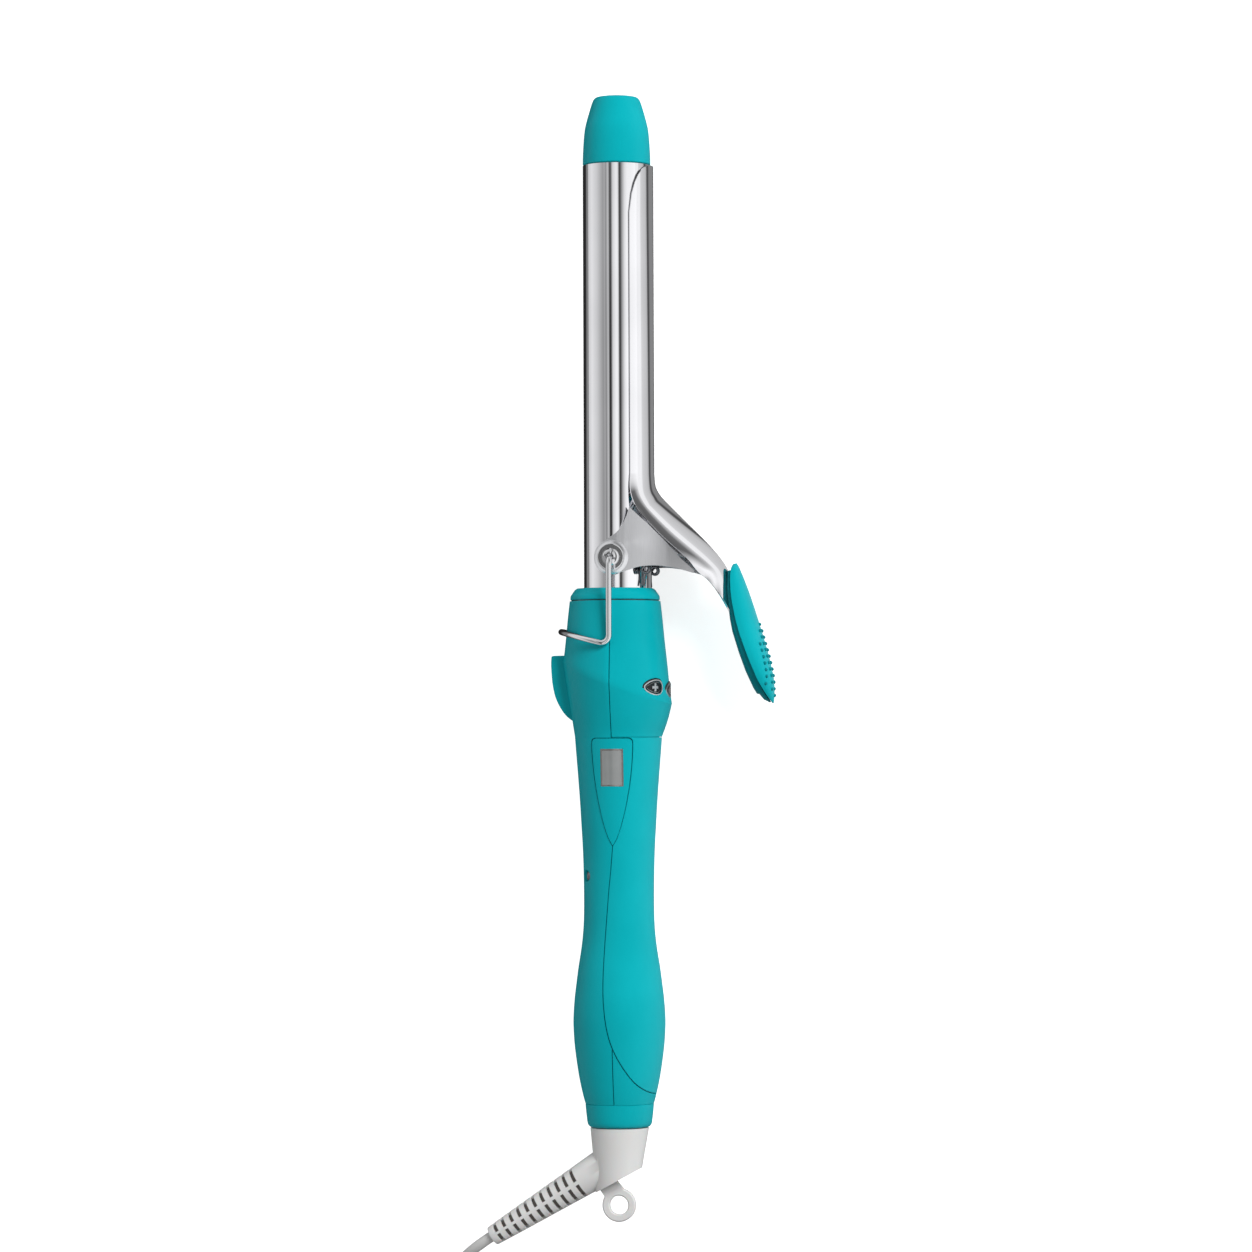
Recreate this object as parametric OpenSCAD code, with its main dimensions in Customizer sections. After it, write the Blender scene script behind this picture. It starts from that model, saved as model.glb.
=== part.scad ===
/* [Barrel] */
// Outside diameter of the heated barrel
barrel_d = 25; // [23:0.5:27]
// Wall of the barrel tube
barrel_wall = 1.2; // [0.9:0.1:1.5]
// Barrel that shows between the collar and the tip cap
barrel_len = 156.4; // [140:0.2:180]
// Length of the tip cap
tip_len = 25.2; // [21:0.2:30]
// Diameter of the tip cap's flat end
tip_end_d = 16; // [13:0.5:18]
// Width of the ceramic heater plate
heater_w = 14; // [10:0.5:16]

/* [Handle] */
// Length of the grip between the end collar and the head
grip_len = 134.4; // [126:0.2:145]
// Length of the head above the grip
head_len = 50; // [47:0.5:54]
// Height of the collar ring on the head
collar_h = 4.6; // [3.6:0.2:6]
// Height of the collar at the cord end
end_collar_h = 8.8; // [7:0.2:10]
// Widest diameter of the head
head_d = 40.8; // [40:0.2:42]
// Diameter of the head under the collar ring
head_top_d = 33.4; // [32.8:0.2:34.4]
// Diameter of the grip where it meets the head
grip_top_d = 32; // [31:0.2:33]
// Diameter of the grip's waist
waist_d = 25.8; // [25:0.2:27]
// Diameter of the grip's swell near the cord
swell_d = 33.8; // [33:0.2:36]
// Diameter of the grip at the end collar
grip_end_d = 25.6; // [25:0.2:27]
// Wall of the two handle shells
shell_wall = 2.6; // [2.2:0.1:2.8]
// Thickness of the let-in grip panel
panel_t = 1; // [0.8:0.1:1.3]
// Slope of the oblique crease around the head, in degrees
crease_tilt = 19.8; // [15:0.2:22]
// How far the heel stands out from the handle's axis
heel_reach = 24.6; // [23:0.2:27]
// Thickness of the heel
heel_w = 7; // [5:0.5:9]
// Thickness of the circuit boards
board_t = 1.6; // [1.2:0.1:2]

/* [Display and buttons] */
// Width of the display bezel
bezel_w = 15; // [13:0.2:16]
// Length of the display bezel
bezel_len = 40; // [36:0.5:43]
// Width of the display window
window_w = 8.2; // [7:0.2:9]
// Height of the display window
window_h = 13.7; // [12:0.1:14.5]
// Width of a button across its flat side
button_w = 5.6; // [5:0.1:6.2]
// Travel of a button
button_travel = 0.6; // [0.3:0.05:0.8]
// Angle between neighbouring buttons, in degrees
button_step = 32; // [30:0.5:36]

/* [Clip] */
// Height of the clip's pivot above the collar ring
pivot_up = 11.1; // [10:0.1:13]
// Thickness of the clip's sheet
clip_t = 0.7; // [0.6:0.1:1]
// Gap between the clip's blade and the barrel
clip_gap = 0.36; // [0.34:0.02:0.5]
// Half of the arc that the blade covers, in degrees
clip_half = 60; // [50:1:64]
// How far the blade's tip stops short of the tip cap
blade_short = 0.6; // [0.4:0.2:6]
// Reach of the lever from the barrel's axis to the thumb pad
lever_reach = 43.9; // [42:0.1:46]
// Thickness of the U bracket's sheet
bracket_t = 1.2; // [1:0.1:1.5]
// Diameter of the screws' shoulder that the bracket turns on
pivot_d = 6.4; // [5.6:0.1:7]
// Length of the thumb pad
pad_len = 53.2; // [48:0.2:58]
// Width of the thumb pad
pad_w = 19; // [16:0.2:21]
// Lean of the thumb pad away from the handle's axis, in degrees
pad_lean = 14.7; // [12:0.1:17]

/* [Stand] */
// Diameter of the stand's wire
wire_d = 2.2; // [1.8:0.1:2.6]
// Half of the distance between the stand's legs
stand_half = 20.6; // [20.4:0.1:22.5]
// Height from the pivot to the foot of the stand's legs
stand_drop = 31.4; // [27:0.2:32]
// Climb of the stand's crossbar towards the heel, in degrees
stand_climb = 12.3; // [8:0.1:15]

/* [Cord] */
// Diameter of the cord
cord_d = 4; // [3.6:0.1:4.4]
// Diameter of the boot's socket under the handle
boot_d = 21.4; // [21:0.1:22.4]
// Length of the boot's slotted arm from the elbow
boot_arm = 56.6; // [54:0.1:60]
// Drop of the boot's arm below level, in degrees
boot_drop = 32; // [31:0.1:34]
// Radius of the hole in the hanging ring
ring_hole_r = 3.5; // [2.5:0.1:4.5]
// Width of the material around that hole
ring_band = 2.7; // [2:0.1:3.4]
// Diameter of the swivel spindle
spindle_d = 12; // [11:0.1:12.6]

/* [Hidden] */
$fn = 64;
slip = 0.05;      // running fit of a shaft in its bore
seat = 0.1;       // gap between pieces that are fixed to each other
free = 0.3;       // gap between pieces that move past each other
eps = 0.01;
reach = 200;      // longer than any cut through the handle

barrel_r = barrel_d / 2;
bore_r = barrel_r - barrel_wall;
head_base = end_collar_h + grip_len;
collar_z = head_base + head_len;
barrel_z = collar_z + collar_h;
tip_z = barrel_z + barrel_len;
end_z = tip_z + tip_len;
pivot_z = barrel_z + pivot_up;

// Stations of the grip, measured from the end collar
swell_z = end_collar_h + 30.7;
waist_z = end_collar_h + 71.2;
crease_z = head_base + 18.8;
head_wide_z = head_base + 12;

// The iron lies on its tip cap, on the bend of one stand leg and on the bracket's outer corner
bend_r = 2.8;
ear_y = barrel_r + 0.9;
ear_reach = 27.6;
touch_z = pivot_z - bend_r + 0.4;
rest_roll = atan((stand_half - ear_y - bracket_t + 1.04 * wire_d / 2) / ear_reach);
stand_low = stand_half * cos(rest_roll) + wire_d / 2;
rest_pitch = atan((stand_low - barrel_r + 0.1) / (tip_z + 6 - touch_z));
lift = touch_z * sin(rest_pitch) + stand_low * cos(rest_pitch);
mid_x = (lever_reach - boot_arm * cos(boot_drop)) / 2 + 6.2;
mid_y = (end_z - boot_arm * sin(boot_drop)) / 2 - 6.8;

teal = "#00a9b0";
steel = "#d4d6d8";
satin = "#b4b7ba";
white = "#dcdcda";
brass = "#c9a24a";
ceramic = "#efe9dc";
board_green = "#1f6b3a";

// ---------- helpers ----------

// Lays the iron, whose own axis is Z, on its side with the display up
module on_table() translate([-mid_x, -mid_y, lift]) rotate([-rest_pitch, 0, 0])
    rotate([0, rest_roll, 0]) rotate([-90, 0, 0]) children();

// A closed body through rings of points that all have the same count
module skin(rings) {
    n = len(rings[0]);
    m = len(rings);
    sides = [for (i = [0:m - 2]) for (j = [0:n - 1])
        each [[i * n + j, i * n + (j + 1) % n, (i + 1) * n + (j + 1) % n],
              [i * n + j, (i + 1) * n + (j + 1) % n, (i + 1) * n + j]]];
    polyhedron([for (ring = rings) each ring],
        concat([[for (j = [n - 1:-1:0]) j]], sides, [[for (j = [0:n - 1]) (m - 1) * n + j]]),
        convexity = 6);
}

function unit(v) = v / max(norm(v), 0.000001);
function way(p, i) = unit(p[min(i + 1, len(p) - 1)] - p[max(i - 1, 0)]);
function level(t) = abs(t[2]) > 0.95 ? [1, 0, 0] : [0, 0, 1];
// The side direction of each ring is carried along the path, so the tube doesn't twist
function carried(p, i, u) = unit(u - (u * way(p, i)) * way(p, i));
function sides_of(p, i = 0, u = undef) = i == len(p) ? [] :
    let (v = carried(p, i, is_undef(u) ? cross(way(p, 0), level(way(p, 0))) : u))
    concat([v], sides_of(p, i + 1, v));

module tube_along(p, r, sides = 8) {
    u = sides_of(p);
    skin([for (i = [0:len(p) - 1]) let (v = cross(way(p, i), u[i]))
        [for (k = [0:sides - 1]) p[i] + r * cos(360 * k / sides) * u[i] - r * sin(360 * k / sides) * v]]);
}

// A smooth line through the given points
function spline_at(a, b, c, d, t) = 0.5 * (2 * b + (c - a) * t + (2 * a - 5 * b + 4 * c - d) * t * t
    + (3 * b - a - 3 * c + d) * t * t * t);
function smooth(p, steps) = concat([for (i = [0:len(p) - 2]) for (k = [0:steps - 1])
    spline_at(p[max(i - 1, 0)], p[i], p[i + 1], p[min(i + 2, len(p) - 1)], k / steps)], [p[len(p) - 1]]);

module each_side() {
    children();
    mirror([0, 1, 0]) children();
}

// A cylinder along Y, from y0 to y1
module pin_y(r, y0, y1, x = 0, z = 0) translate([x, y0, z]) rotate([-90, 0, 0]) cylinder(r = r, h = y1 - y0);

// ---------- the handle's form ----------

function grip_r(z) =
    z < swell_z ? grip_end_d / 2 + (swell_d - grip_end_d) / 2 * sin(90 * (z - end_collar_h) / (swell_z - end_collar_h)) :
    z < waist_z ? waist_d / 2 + (swell_d - waist_d) / 4 * (1 + cos(180 * (z - swell_z) / (waist_z - swell_z))) :
    waist_d / 2 + (grip_top_d - waist_d) / 2 * pow((z - waist_z) / (head_base - waist_z), 1.7);
grip_steps = 24;

// The grip, smaller all round by inset, and longer at both ends by over
module grip_form(inset = 0, over = 0) {
    z = [for (i = [0:grip_steps]) end_collar_h + grip_len * i / grip_steps];
    rotate_extrude() polygon(concat([[0, end_collar_h - over], [grip_r(end_collar_h) - inset, end_collar_h - over]],
        [for (h = z) [grip_r(h) - inset, h]],
        [[grip_r(head_base) - inset, head_base + over], [0, head_base + over]]));
}

// The head: a cone down to the oblique crease, and from there in to the grip
module head_form(inset = 0, over = 0) hull() {
    intersection() {
        union() {
            translate([0, 0, head_base]) cylinder(r = head_d / 2 - inset, h = head_wide_z - head_base, $fn = 48);
            translate([0, 0, head_wide_z]) cylinder(r1 = head_d / 2 - inset, r2 = (head_d + 2 * head_top_d) / 6 - inset,
                h = (collar_z - head_wide_z) * 0.7, $fn = 48);
            translate([0, 0, head_wide_z + (collar_z - head_wide_z) * 0.7]) cylinder(
                r1 = (head_d + 2 * head_top_d) / 6 - inset, r2 = head_top_d / 2 - inset,
                h = (collar_z - head_wide_z) * 0.3 + over, $fn = 48);
        }
        translate([0, 0, crease_z]) rotate([0, crease_tilt, 0]) translate([-50, -50, 0]) cube([100, 100, 100]);
    }
    translate([0, 0, head_base - over]) cylinder(r = grip_top_d / 2 - inset, h = 0.2, $fn = 48);
}

// The edge of the grip panel in the front view, from the display's tip down and round to the side
panel_edge = smooth([[0, head_base - bezel_len + 2], [-1.9, end_collar_h + 75], [-3.2, end_collar_h + 56],
    [-3.3, end_collar_h + 38], [-0.8, end_collar_h + 23], [5.2, end_collar_h + 11.2],
    [11, end_collar_h + 5], [18, end_collar_h + 1.6]], 4);

module front_cut(over = reach) translate([0, over / 2, 0]) rotate([90, 0, 0]) linear_extrude(over) children();

module panel_outline(grow = 0) front_cut() polygon(concat([[-grow, head_base + grow]],
    [for (p = panel_edge) p + [-grow, -grow]], [[25, end_collar_h], [25, head_base + grow]]));

// The display bezel in the front view: square shoulders and a point
function bezel_half(t) = bezel_w / 2 * sqrt(max(0, 1 - pow(t, 2.4)));
module bezel_outline(grow = 0) {
    n = 12;
    top = head_base - seat + grow;
    side = [for (i = [0:n]) [bezel_half(i / n) + grow, top - 2 * grow - (bezel_len - 1) * i / n]];
    polygon(concat([[-(bezel_w / 2 + grow) + 1.2, top], [bezel_w / 2 + grow - 1.2, top],
        [bezel_w / 2 + grow, top - 1.2]], [for (i = [1:n]) side[i]],
        [for (i = [n:-1:1]) [-side[i][0], side[i][1]]], [[-bezel_w / 2 - grow, top - 1.2]]));
}
module bezel_cut(grow = 0) translate([0, -4, 0]) rotate([90, 0, 0]) linear_extrude(30) bezel_outline(grow);

// Rounded shield of a button, its point towards the display, drawn in the plane that faces outwards
function arc_of(c, r, from, to, n) = [for (i = [0:n]) c + r * [cos(from + (to - from) * i / n), sin(from + (to - from) * i / n)]];
module shield(grow) {
    r = 1.1 + grow;
    h = button_w / 2 - 1.1;
    polygon(concat(arc_of([-h * 1.15, 0], r, 120, 240, 6), arc_of([h * 0.8, -h], r, 240, 360, 6),
        arc_of([h * 0.8, h], r, 0, 120, 6)));
}
button_z = head_base + 17;
button_turns = [-button_step, 0, button_step];
// Puts a drawing on the head's flank; its X runs round the head and Z points outwards
module at_button(i) rotate([0, 0, button_turns[i]]) translate([0, 0, button_z - 1 * i]) rotate([0, 90, 0])
    rotate([0, 0, 90]) children();
button_out = head_d / 2 + 0.3;
button_seat = head_d / 2 - shell_wall - 1.4;
board_out = button_seat - 3.4;

// ---------- barrel and heater ----------

socket_in_head = head_len * 0.4;
socket_floor = 2;
barrel_foot_z = collar_z - socket_in_head + socket_floor;

module barrel_tube() color(steel) on_table() difference() {
    translate([0, 0, barrel_foot_z]) cylinder(r = barrel_r, h = tip_z - barrel_foot_z);
    translate([0, 0, barrel_foot_z - 1]) cylinder(r = bore_r, h = tip_z - barrel_foot_z + 2);
    pin_y(stud_r + slip, -barrel_r - 1, barrel_r + 1, z = pivot_z);
}

module tip_cap() color(teal) on_table() difference() {
    rotate_extrude() polygon(concat([[0, tip_z - cap_spigot], [bore_r - seat, tip_z - cap_spigot],
        [bore_r - seat, tip_z], [barrel_r, tip_z]],
        [for (i = [1:8]) [barrel_r - (barrel_r - tip_end_d / 2 - 0.7) * pow(i / 8, 2.6), tip_z + (tip_len - 1.2) * i / 8]],
        [[tip_end_d / 2 - 0.5, end_z - 0.35], [tip_end_d / 2 - 1.5, end_z - 0.1], [0, end_z]]));
    translate([0, 0, tip_z - cap_spigot - 1]) cylinder(r = bore_r - 2, h = cap_spigot + tip_len / 2);
}
cap_spigot = 8;

insulator_h = 2;
carrier_top = tip_z - cap_spigot - insulator_h;
carrier_z = barrel_z + 24;
module tip_insulator() color(ceramic) on_table() translate([0, 0, carrier_top])
    cylinder(r = bore_r - seat, h = insulator_h);

plate_t = 2.4;
sensor_y = bore_r * 0.58;
sensor_r = 1.5;
fuse_r = 1.9;
module heater_carrier(side, pocket_r, pocket_h) difference() {
    translate([0, 0, carrier_z]) cylinder(r = bore_r - seat, h = carrier_top - carrier_z);
    translate([-reach / 2, side > 0 ? -reach : 0, 0]) cube([reach, reach, end_z]);
    translate([-heater_w / 2 - seat, -plate_t / 2 - seat, carrier_z - 1])
        cube([heater_w + 2 * seat, plate_t + 2 * seat, end_z]);
    translate([0, side * sensor_y, carrier_z - 1]) cylinder(r = pocket_r + seat, h = pocket_h + 1, $fn = 24);
}
module heater_carrier_front() color("silver") on_table() heater_carrier(-1, sensor_r, 30);
module heater_carrier_back() color("silver") on_table() heater_carrier(1, fuse_r, 22);

module heater_plate() color(ceramic) on_table() translate([-heater_w / 2, -plate_t / 2, carrier_z - 4])
    cube([heater_w, plate_t, carrier_top - carrier_z + 4]);
module thermistor() color(brass) on_table() translate([0, -sensor_y, carrier_z - 5]) cylinder(r = sensor_r, h = 35, $fn = 24);
module thermal_fuse() color("silver") on_table() translate([0, sensor_y, carrier_z - 5]) {
    cylinder(r = 0.6, h = 8, $fn = 24);
    translate([0, 0, 7]) cylinder(r = fuse_r, h = 20, $fn = 24);
}

// Heat-proof socket that carries the barrel in the head
base_r = head_top_d / 2 - shell_wall - seat;
module barrel_base() color("#3a3a3c") on_table() difference() {
    translate([0, 0, collar_z - socket_in_head]) cylinder(r = base_r, h = socket_in_head);
    translate([0, 0, barrel_foot_z]) cylinder(r = barrel_r + slip, h = socket_in_head);
    translate([0, 0, collar_z - socket_in_head - 1]) cylinder(r = barrel_r / 2, h = socket_floor + 2);
}

module collar() color(teal) on_table() difference() {
    translate([0, 0, collar_z]) rotate_extrude() polygon([[0, 0], [head_top_d / 2 - 0.5, 0], [head_top_d / 2 - 0.5, 0.5],
        [head_top_d / 2 + 0.2, 0.8], [head_top_d / 2, collar_h - 1.6],
        [head_top_d / 2 - 0.6, collar_h - 0.8], [head_top_d / 2 - 1.8, collar_h], [0, collar_h]]);
    translate([0, 0, collar_z - 1]) cylinder(r = barrel_r + seat, h = collar_h + 2);
}

// ---------- pivot ----------

stud_r = 2;
boss_h = 1.2;
washer_y = ear_y + bracket_t + boss_h + slip - eps;
washer_t = 0.6;
head_y = washer_y + washer_t;
head_t = 1.6;
module pivot_screws() color(steel) on_table() each_side() difference() {
    union() {
        pin_y(stud_r, bore_r - 2.6, head_y + head_t, z = pivot_z);
        pin_y(stud_r + 2, bore_r - 2.6, bore_r - 1, z = pivot_z);
        pin_y(pivot_d / 2, barrel_r + slip, washer_y, z = pivot_z);
        translate([0, head_y, pivot_z]) rotate([-90, 0, 0]) cylinder(r1 = 3.1, r2 = 2.7, h = head_t);
    }
    pin_y(wire_d / 2 + slip, barrel_r + 1.5, head_y + head_t + 1, z = pivot_z);
}
module pivot_washers() color(steel) on_table() each_side() difference() {
    pin_y(4.75, washer_y, head_y - eps, z = pivot_z);
    pin_y(stud_r + slip, washer_y - 1, head_y + 1, z = pivot_z);
}

// Torsion springs between the barrel's flank and the bracket
spring_wire = 1;
spring_mid = 2.5;
spring_x = barrel_r + 1.2;
spring_z = pivot_z - 5.5;
spring_y = 8.2;
spring_turns = 3;
module clip_springs() color("#55585c") on_table() each_side() tube_along(concat(
    [[spring_x - 3, spring_y - 0.3, spring_z + 12], [spring_x - 2.9, spring_y - 0.2, spring_z + 6]],
    [for (i = [0:18 * spring_turns]) [spring_x - spring_mid * cos(20 * i), spring_y + 1.1 * i / 18, spring_z - spring_mid * sin(20 * i)]],
    [[spring_x + 3, spring_y + 3.4, spring_z + 6], [spring_x + 5.5, spring_y + 3.6, spring_z + 9.4]]), spring_wire / 2);

// ---------- handle shells ----------

screw_y = 7;
screw_head_r = 2;
screw_r = 1.3;
screw_places = [[-screw_y, end_collar_h + 83.4], [screw_y, end_collar_h + 24], [screw_y, head_base + 6]];
screw_sink = 3.2;
boss_r = 3;
function flank(z) = sqrt(pow((z > head_base ? grip_top_d / 2 + 0.8 : grip_r(z)), 2) - screw_y * screw_y);

board_y = 1.2;
board_half = waist_d / 2 - shell_wall - 2.4;
board_z = end_collar_h + 28;
board_len = grip_len - 34;

// Half of the handle: side -1 is the heel's side, 1 is the lever's side
module shell_half(side) difference() {
    union() {
        difference() {
            union() {
                head_form();
                grip_form(over = eps);
                if (side < 0) heel();
            }
            head_form(shell_wall, 1);
            grip_form(shell_wall, 1);
        }
        // Rails for the main board
        intersection() {
            grip_form(shell_wall / 2);
            for (s = [-1, 1]) translate([side > 0 ? board_half - 1.2 : -board_half - 10,
                board_y + (s > 0 ? board_t / 2 + seat : -board_t / 2 - seat - 1.4), board_z])
                cube([11.2, 1.4, board_len]);
        }
        // Screw bosses
        intersection() {
            grip_form(shell_wall / 2, 20);
            for (p = screw_places) translate([0, p[0], p[1]]) rotate([0, 90 * side, 0]) cylinder(r = boss_r, h = 30);
        }
        // Posts under the control board
        if (side > 0) intersection() {
            head_form(shell_wall / 2);
            for (a = [-1, 1]) rotate([0, 0, a * (button_step * 1.5)]) translate([board_out + seat, -1.5, button_z - 5])
                cube([20, 3, 10]);
        }
    }
    // The other half
    translate([side > 0 ? -reach + seat / 2 : -seat / 2, -reach / 2, -1]) cube([reach, reach, 2 * reach]);
    for (p = screw_places) {
        translate([-reach / 2, p[0], p[1]]) rotate([0, 90, 0]) cylinder(r = screw_r + slip, h = reach / 2 + 7, $fn = 24);
        translate([-flank(p[1]) + screw_sink, p[0], p[1]]) rotate([0, -90, 0]) cylinder(r = screw_head_r + seat, h = 30, $fn = 24);
    }
    bezel_cut(seat);
}

heel_foot = crease_z - 11.3;
heel_top = head_base + 29.9;
module heel() translate([0, heel_w / 2, 0]) rotate([90, 0, 0]) linear_extrude(heel_w) polygon(smooth([
    [-head_d / 2 + 4, heel_foot - 3], [-head_d / 2 + 0.8, heel_foot], [-heel_reach + 2, heel_foot + 5.6],
    [-heel_reach + 0.4, heel_foot + 12.3], [-heel_reach, heel_foot + 17.5], [-heel_reach + 0.4, heel_top - 0.6],
    [-heel_reach + 1, heel_top], [-head_d / 2 + 5, heel_top + 0.2]], 3));

module handle_shell_left() color(teal) on_table() difference() {
    shell_half(-1);
    panel_pocket();
}
module panel_pocket() difference() {
    intersection() {
        grip_form(-2, seat - eps);
        panel_outline(seat);
    }
    grip_form(panel_t + seat, 2);
}
module handle_shell_right() color(teal) on_table() difference() {
    shell_half(1);
    panel_pocket();
    for (i = [0:2]) at_button(i) translate([0, 0, 8]) linear_extrude(reach) shield(seat + 0.6 + seat);
}

module grip_panel() color(teal) on_table() difference() {
    intersection() {
        grip_form();
        panel_outline();
    }
    grip_form(panel_t, 2);
    bezel_cut(seat);
    translate([-reach + 6, 0, waist_z - 40]) cube([reach - 9, reach, 1]);
}

// ---------- display ----------

window_z = head_base - 4.3 - window_h;
bezel_t = 2;
module bezel_solid(out, depth) difference() {
    intersection() {
        grip_form(-out, 1);
        translate([0, -4, 0]) rotate([90, 0, 0]) linear_extrude(30) children();
    }
    grip_form(depth, 2);
}
module window_outline(grow = 0) translate([-window_w / 2 - grow, window_z - grow]) square([window_w + 2 * grow, window_h + 2 * grow]);
module display_bezel() color(teal) on_table() bezel_solid(0.25, bezel_t) difference() {
    bezel_outline();
    window_outline(seat);
}
module display_window() color("#8e8e8e") on_table() bezel_solid(0.1, bezel_t) window_outline();
module display_module() color("#2e3033") on_table() translate([-window_w / 2 - 1,
    -(grip_r(window_z) - bezel_t - seat) + 1.2, window_z - 1]) cube([window_w + 2, 2.4, window_h + 2]);

// ---------- boards and buttons ----------

module main_board() color(board_green) on_table() {
    translate([-board_half, board_y - board_t / 2, board_z]) cube([2 * board_half, board_t, board_len]);
    translate([-window_w / 2, -(grip_r(window_z) - bezel_t - seat) + 3.6, window_z])
        cube([window_w, grip_r(window_z) - bezel_t - seat - 3.6 + board_y - board_t / 2, 1.6]);
    translate([-3, board_y + board_t / 2, board_z + 14]) cube([6, 5, 12]);
    translate([-4, board_y - board_t / 2 - 3, board_z + 30]) cube([8, 3, 8]);
}

module control_board() color(board_green) on_table() rotate([0, 0, -button_step * 1.7])
    translate([0, 0, button_z - 7]) rotate_extrude(angle = button_step * 3.4)
    polygon([[board_out - board_t, 0], [board_out, 0], [board_out, 12], [board_out - board_t, 12]]);

module tact_switches() color("#26282b") on_table() for (i = [0:2]) at_button(i) {
    translate([-2, -2, board_out + eps]) cube([4, 4, 1.4]);
    translate([0, 0, board_out + 1.4]) cylinder(r = 1.1, h = button_seat - free - button_travel - board_out - 1.4, $fn = 24);
}

module button(i) at_button(i) {
    translate([0, 0, button_seat]) linear_extrude(button_out - 0.4 - button_seat) shield(0);
    translate([0, 0, button_out - 0.4 - eps]) linear_extrude(0.4) shield(-0.35);
}
module button_plus() color(steel) on_table() button(0);
module button_power() color(steel) on_table() button(1);
module button_minus() color(steel) on_table() button(2);
trim_gap = 0.32;
trim_w = 0.28;
module button_trims() color("#3c3e40") on_table() for (i = [0:2]) at_button(i)
    translate([0, 0, head_d / 2 - shell_wall]) linear_extrude(shell_wall + 0.2) difference() {
        shield(trim_gap + trim_w);
        shield(trim_gap);
    }

module shell_screws() color(steel) on_table() for (p = screw_places)
    translate([-flank(p[1]) + screw_sink, p[0], p[1]]) rotate([0, 90, 0]) difference() {
        union() {
            translate([0, 0, -1.4]) cylinder(r = screw_head_r, h = 1.4, $fn = 24);
            cylinder(r = screw_r, h = flank(p[1]) - screw_sink + 6.4, $fn = 24);
        }
        translate([0, 0, -1.5]) for (a = [0, 90]) rotate([0, 0, a]) translate([-1.3, -0.25, 0]) cube([2.6, 0.5, 0.9]);
    }

// ---------- cord end of the handle ----------

spindle_r = spindle_d / 2;
flange_r = spindle_r + 1.8;
socket_r = grip_end_d / 2 - shell_wall - seat;
socket_z = end_collar_h + 3.2;
module end_collar() color(teal) on_table() difference() {
    union() {
        rotate_extrude() polygon([[0, 0], [grip_end_d / 2 - 1.9, 0], [grip_end_d / 2 - 1.2, 0.5],
            [grip_end_d / 2 - 0.8, 1.4], [grip_end_d / 2 - 0.1, end_collar_h - seat], [0, end_collar_h - seat]]);
        cylinder(r = socket_r, h = socket_z - eps);
    }
    translate([0, 0, -1]) cylinder(r = spindle_r + slip, h = socket_z + 1);
    translate([0, 0, end_collar_h]) cylinder(r = flange_r + free, h = 10);
}
swivel_socket_h = 17.5;
module swivel_socket() color("#3a3a3c") on_table() translate([0, 0, socket_z]) difference() {
    cylinder(r = socket_r, h = swivel_socket_h);
    translate([0, 0, -1]) cylinder(r = flange_r + free, h = swivel_socket_h - 1);
    for (x = [-3, 3]) translate([x, 0, 0]) cylinder(r = 0.8, h = swivel_socket_h + 1, $fn = 16);
}
module swivel_spindle() color("#e8e8e4") on_table() difference() {
    union() {
        translate([0, 0, -7]) cylinder(r = spindle_r, h = socket_z + 20);
        translate([0, 0, end_collar_h + slip]) cylinder(r = flange_r, h = 1.6);
    }
    translate([0, 0, -8]) cylinder(r = 2.6, h = socket_z + 18);
}
ring_places = [socket_z + 3, socket_z + 9];
module slip_rings() color(brass) on_table() for (z = ring_places) translate([0, 0, z]) difference() {
    cylinder(r = spindle_r + 0.8, h = 2.4);
    translate([0, 0, -1]) cylinder(r = spindle_r + 0.02, h = 5);
}
module brush_contacts() color(brass) on_table() for (i = [0, 1]) rotate([0, 0, 180 * i])
    translate([spindle_r + 0.8 + slip, -1.2, ring_places[i] + 0.2]) cube([1.1, 2.4, 2]);

lead_r = 0.7;
module mains_leads() color("#7a3b1e") on_table() for (x = [-3, 3])
    tube_along(smooth([[x, 0, socket_z + swivel_socket_h - 1], [x, 0, socket_z + swivel_socket_h + 1],
        [x, board_y - board_t / 2 - lead_r - 0.2, board_z - 1], [x, board_y - board_t / 2 - lead_r - seat, board_z + 8]], 3), lead_r);
module heater_leads() color("#b03a2e") on_table() for (x = [-3, 3])
    tube_along(smooth([[x, board_y + board_t / 2 + 0.8, board_z + board_len - 8],
        [x, board_y + board_t / 2 + 0.9, board_z + board_len + 4], [x, 2.6, head_base + head_len * 0.28], [x, 2.4, collar_z - socket_in_head],
        [x, 2.4, barrel_z + 8], [x, plate_t / 2 + 0.8, carrier_z - 1]], 3), lead_r);

// ---------- clip ----------

blade_r = barrel_r + clip_gap + clip_t;
blade_w = blade_r * sin(clip_half);
blade_d = blade_r * (1 - cos(clip_half));
blade_top = tip_z - blade_short;
// Stations down the clip: crown's place, lean from the barrel, half width, depth of the channel
blade_stations = [for (t = [[0, 0.3], [0.6, 0.52], [2, 0.7], [4.5, 0.83], [9, 0.94], [18, 1]])
    [blade_r, blade_top - t[0], 0, blade_w * t[1], blade_r - sqrt(blade_r * blade_r - pow(blade_w * t[1], 2))]];
root_x = lever_reach - 43.9;
lever_stations = [[blade_r, pivot_z + 31, 0, blade_w, blade_d], [blade_r + 0.5, pivot_z + 26.4, 14, blade_w + 0.7, blade_d + 0.6],
    [blade_r + 2.4, pivot_z + 23, 34, blade_w + 1.9, blade_d + 1.4], [root_x * 0.2 + 18.6, pivot_z + 20.1, 43, 14.3, 8.4],
    [root_x * 0.4 + 25.6, pivot_z + 13.1, 45, 14.3, 8.6], [root_x * 0.6 + 33.3, pivot_z + 5.4, 43, 12.6, 8.2],
    [root_x * 0.8 + 38.4, pivot_z - 0.5, 35, 10.2, 6.3], [root_x + 41.2, pivot_z - 5.3, 22, 8.2, 4.2]];
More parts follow.
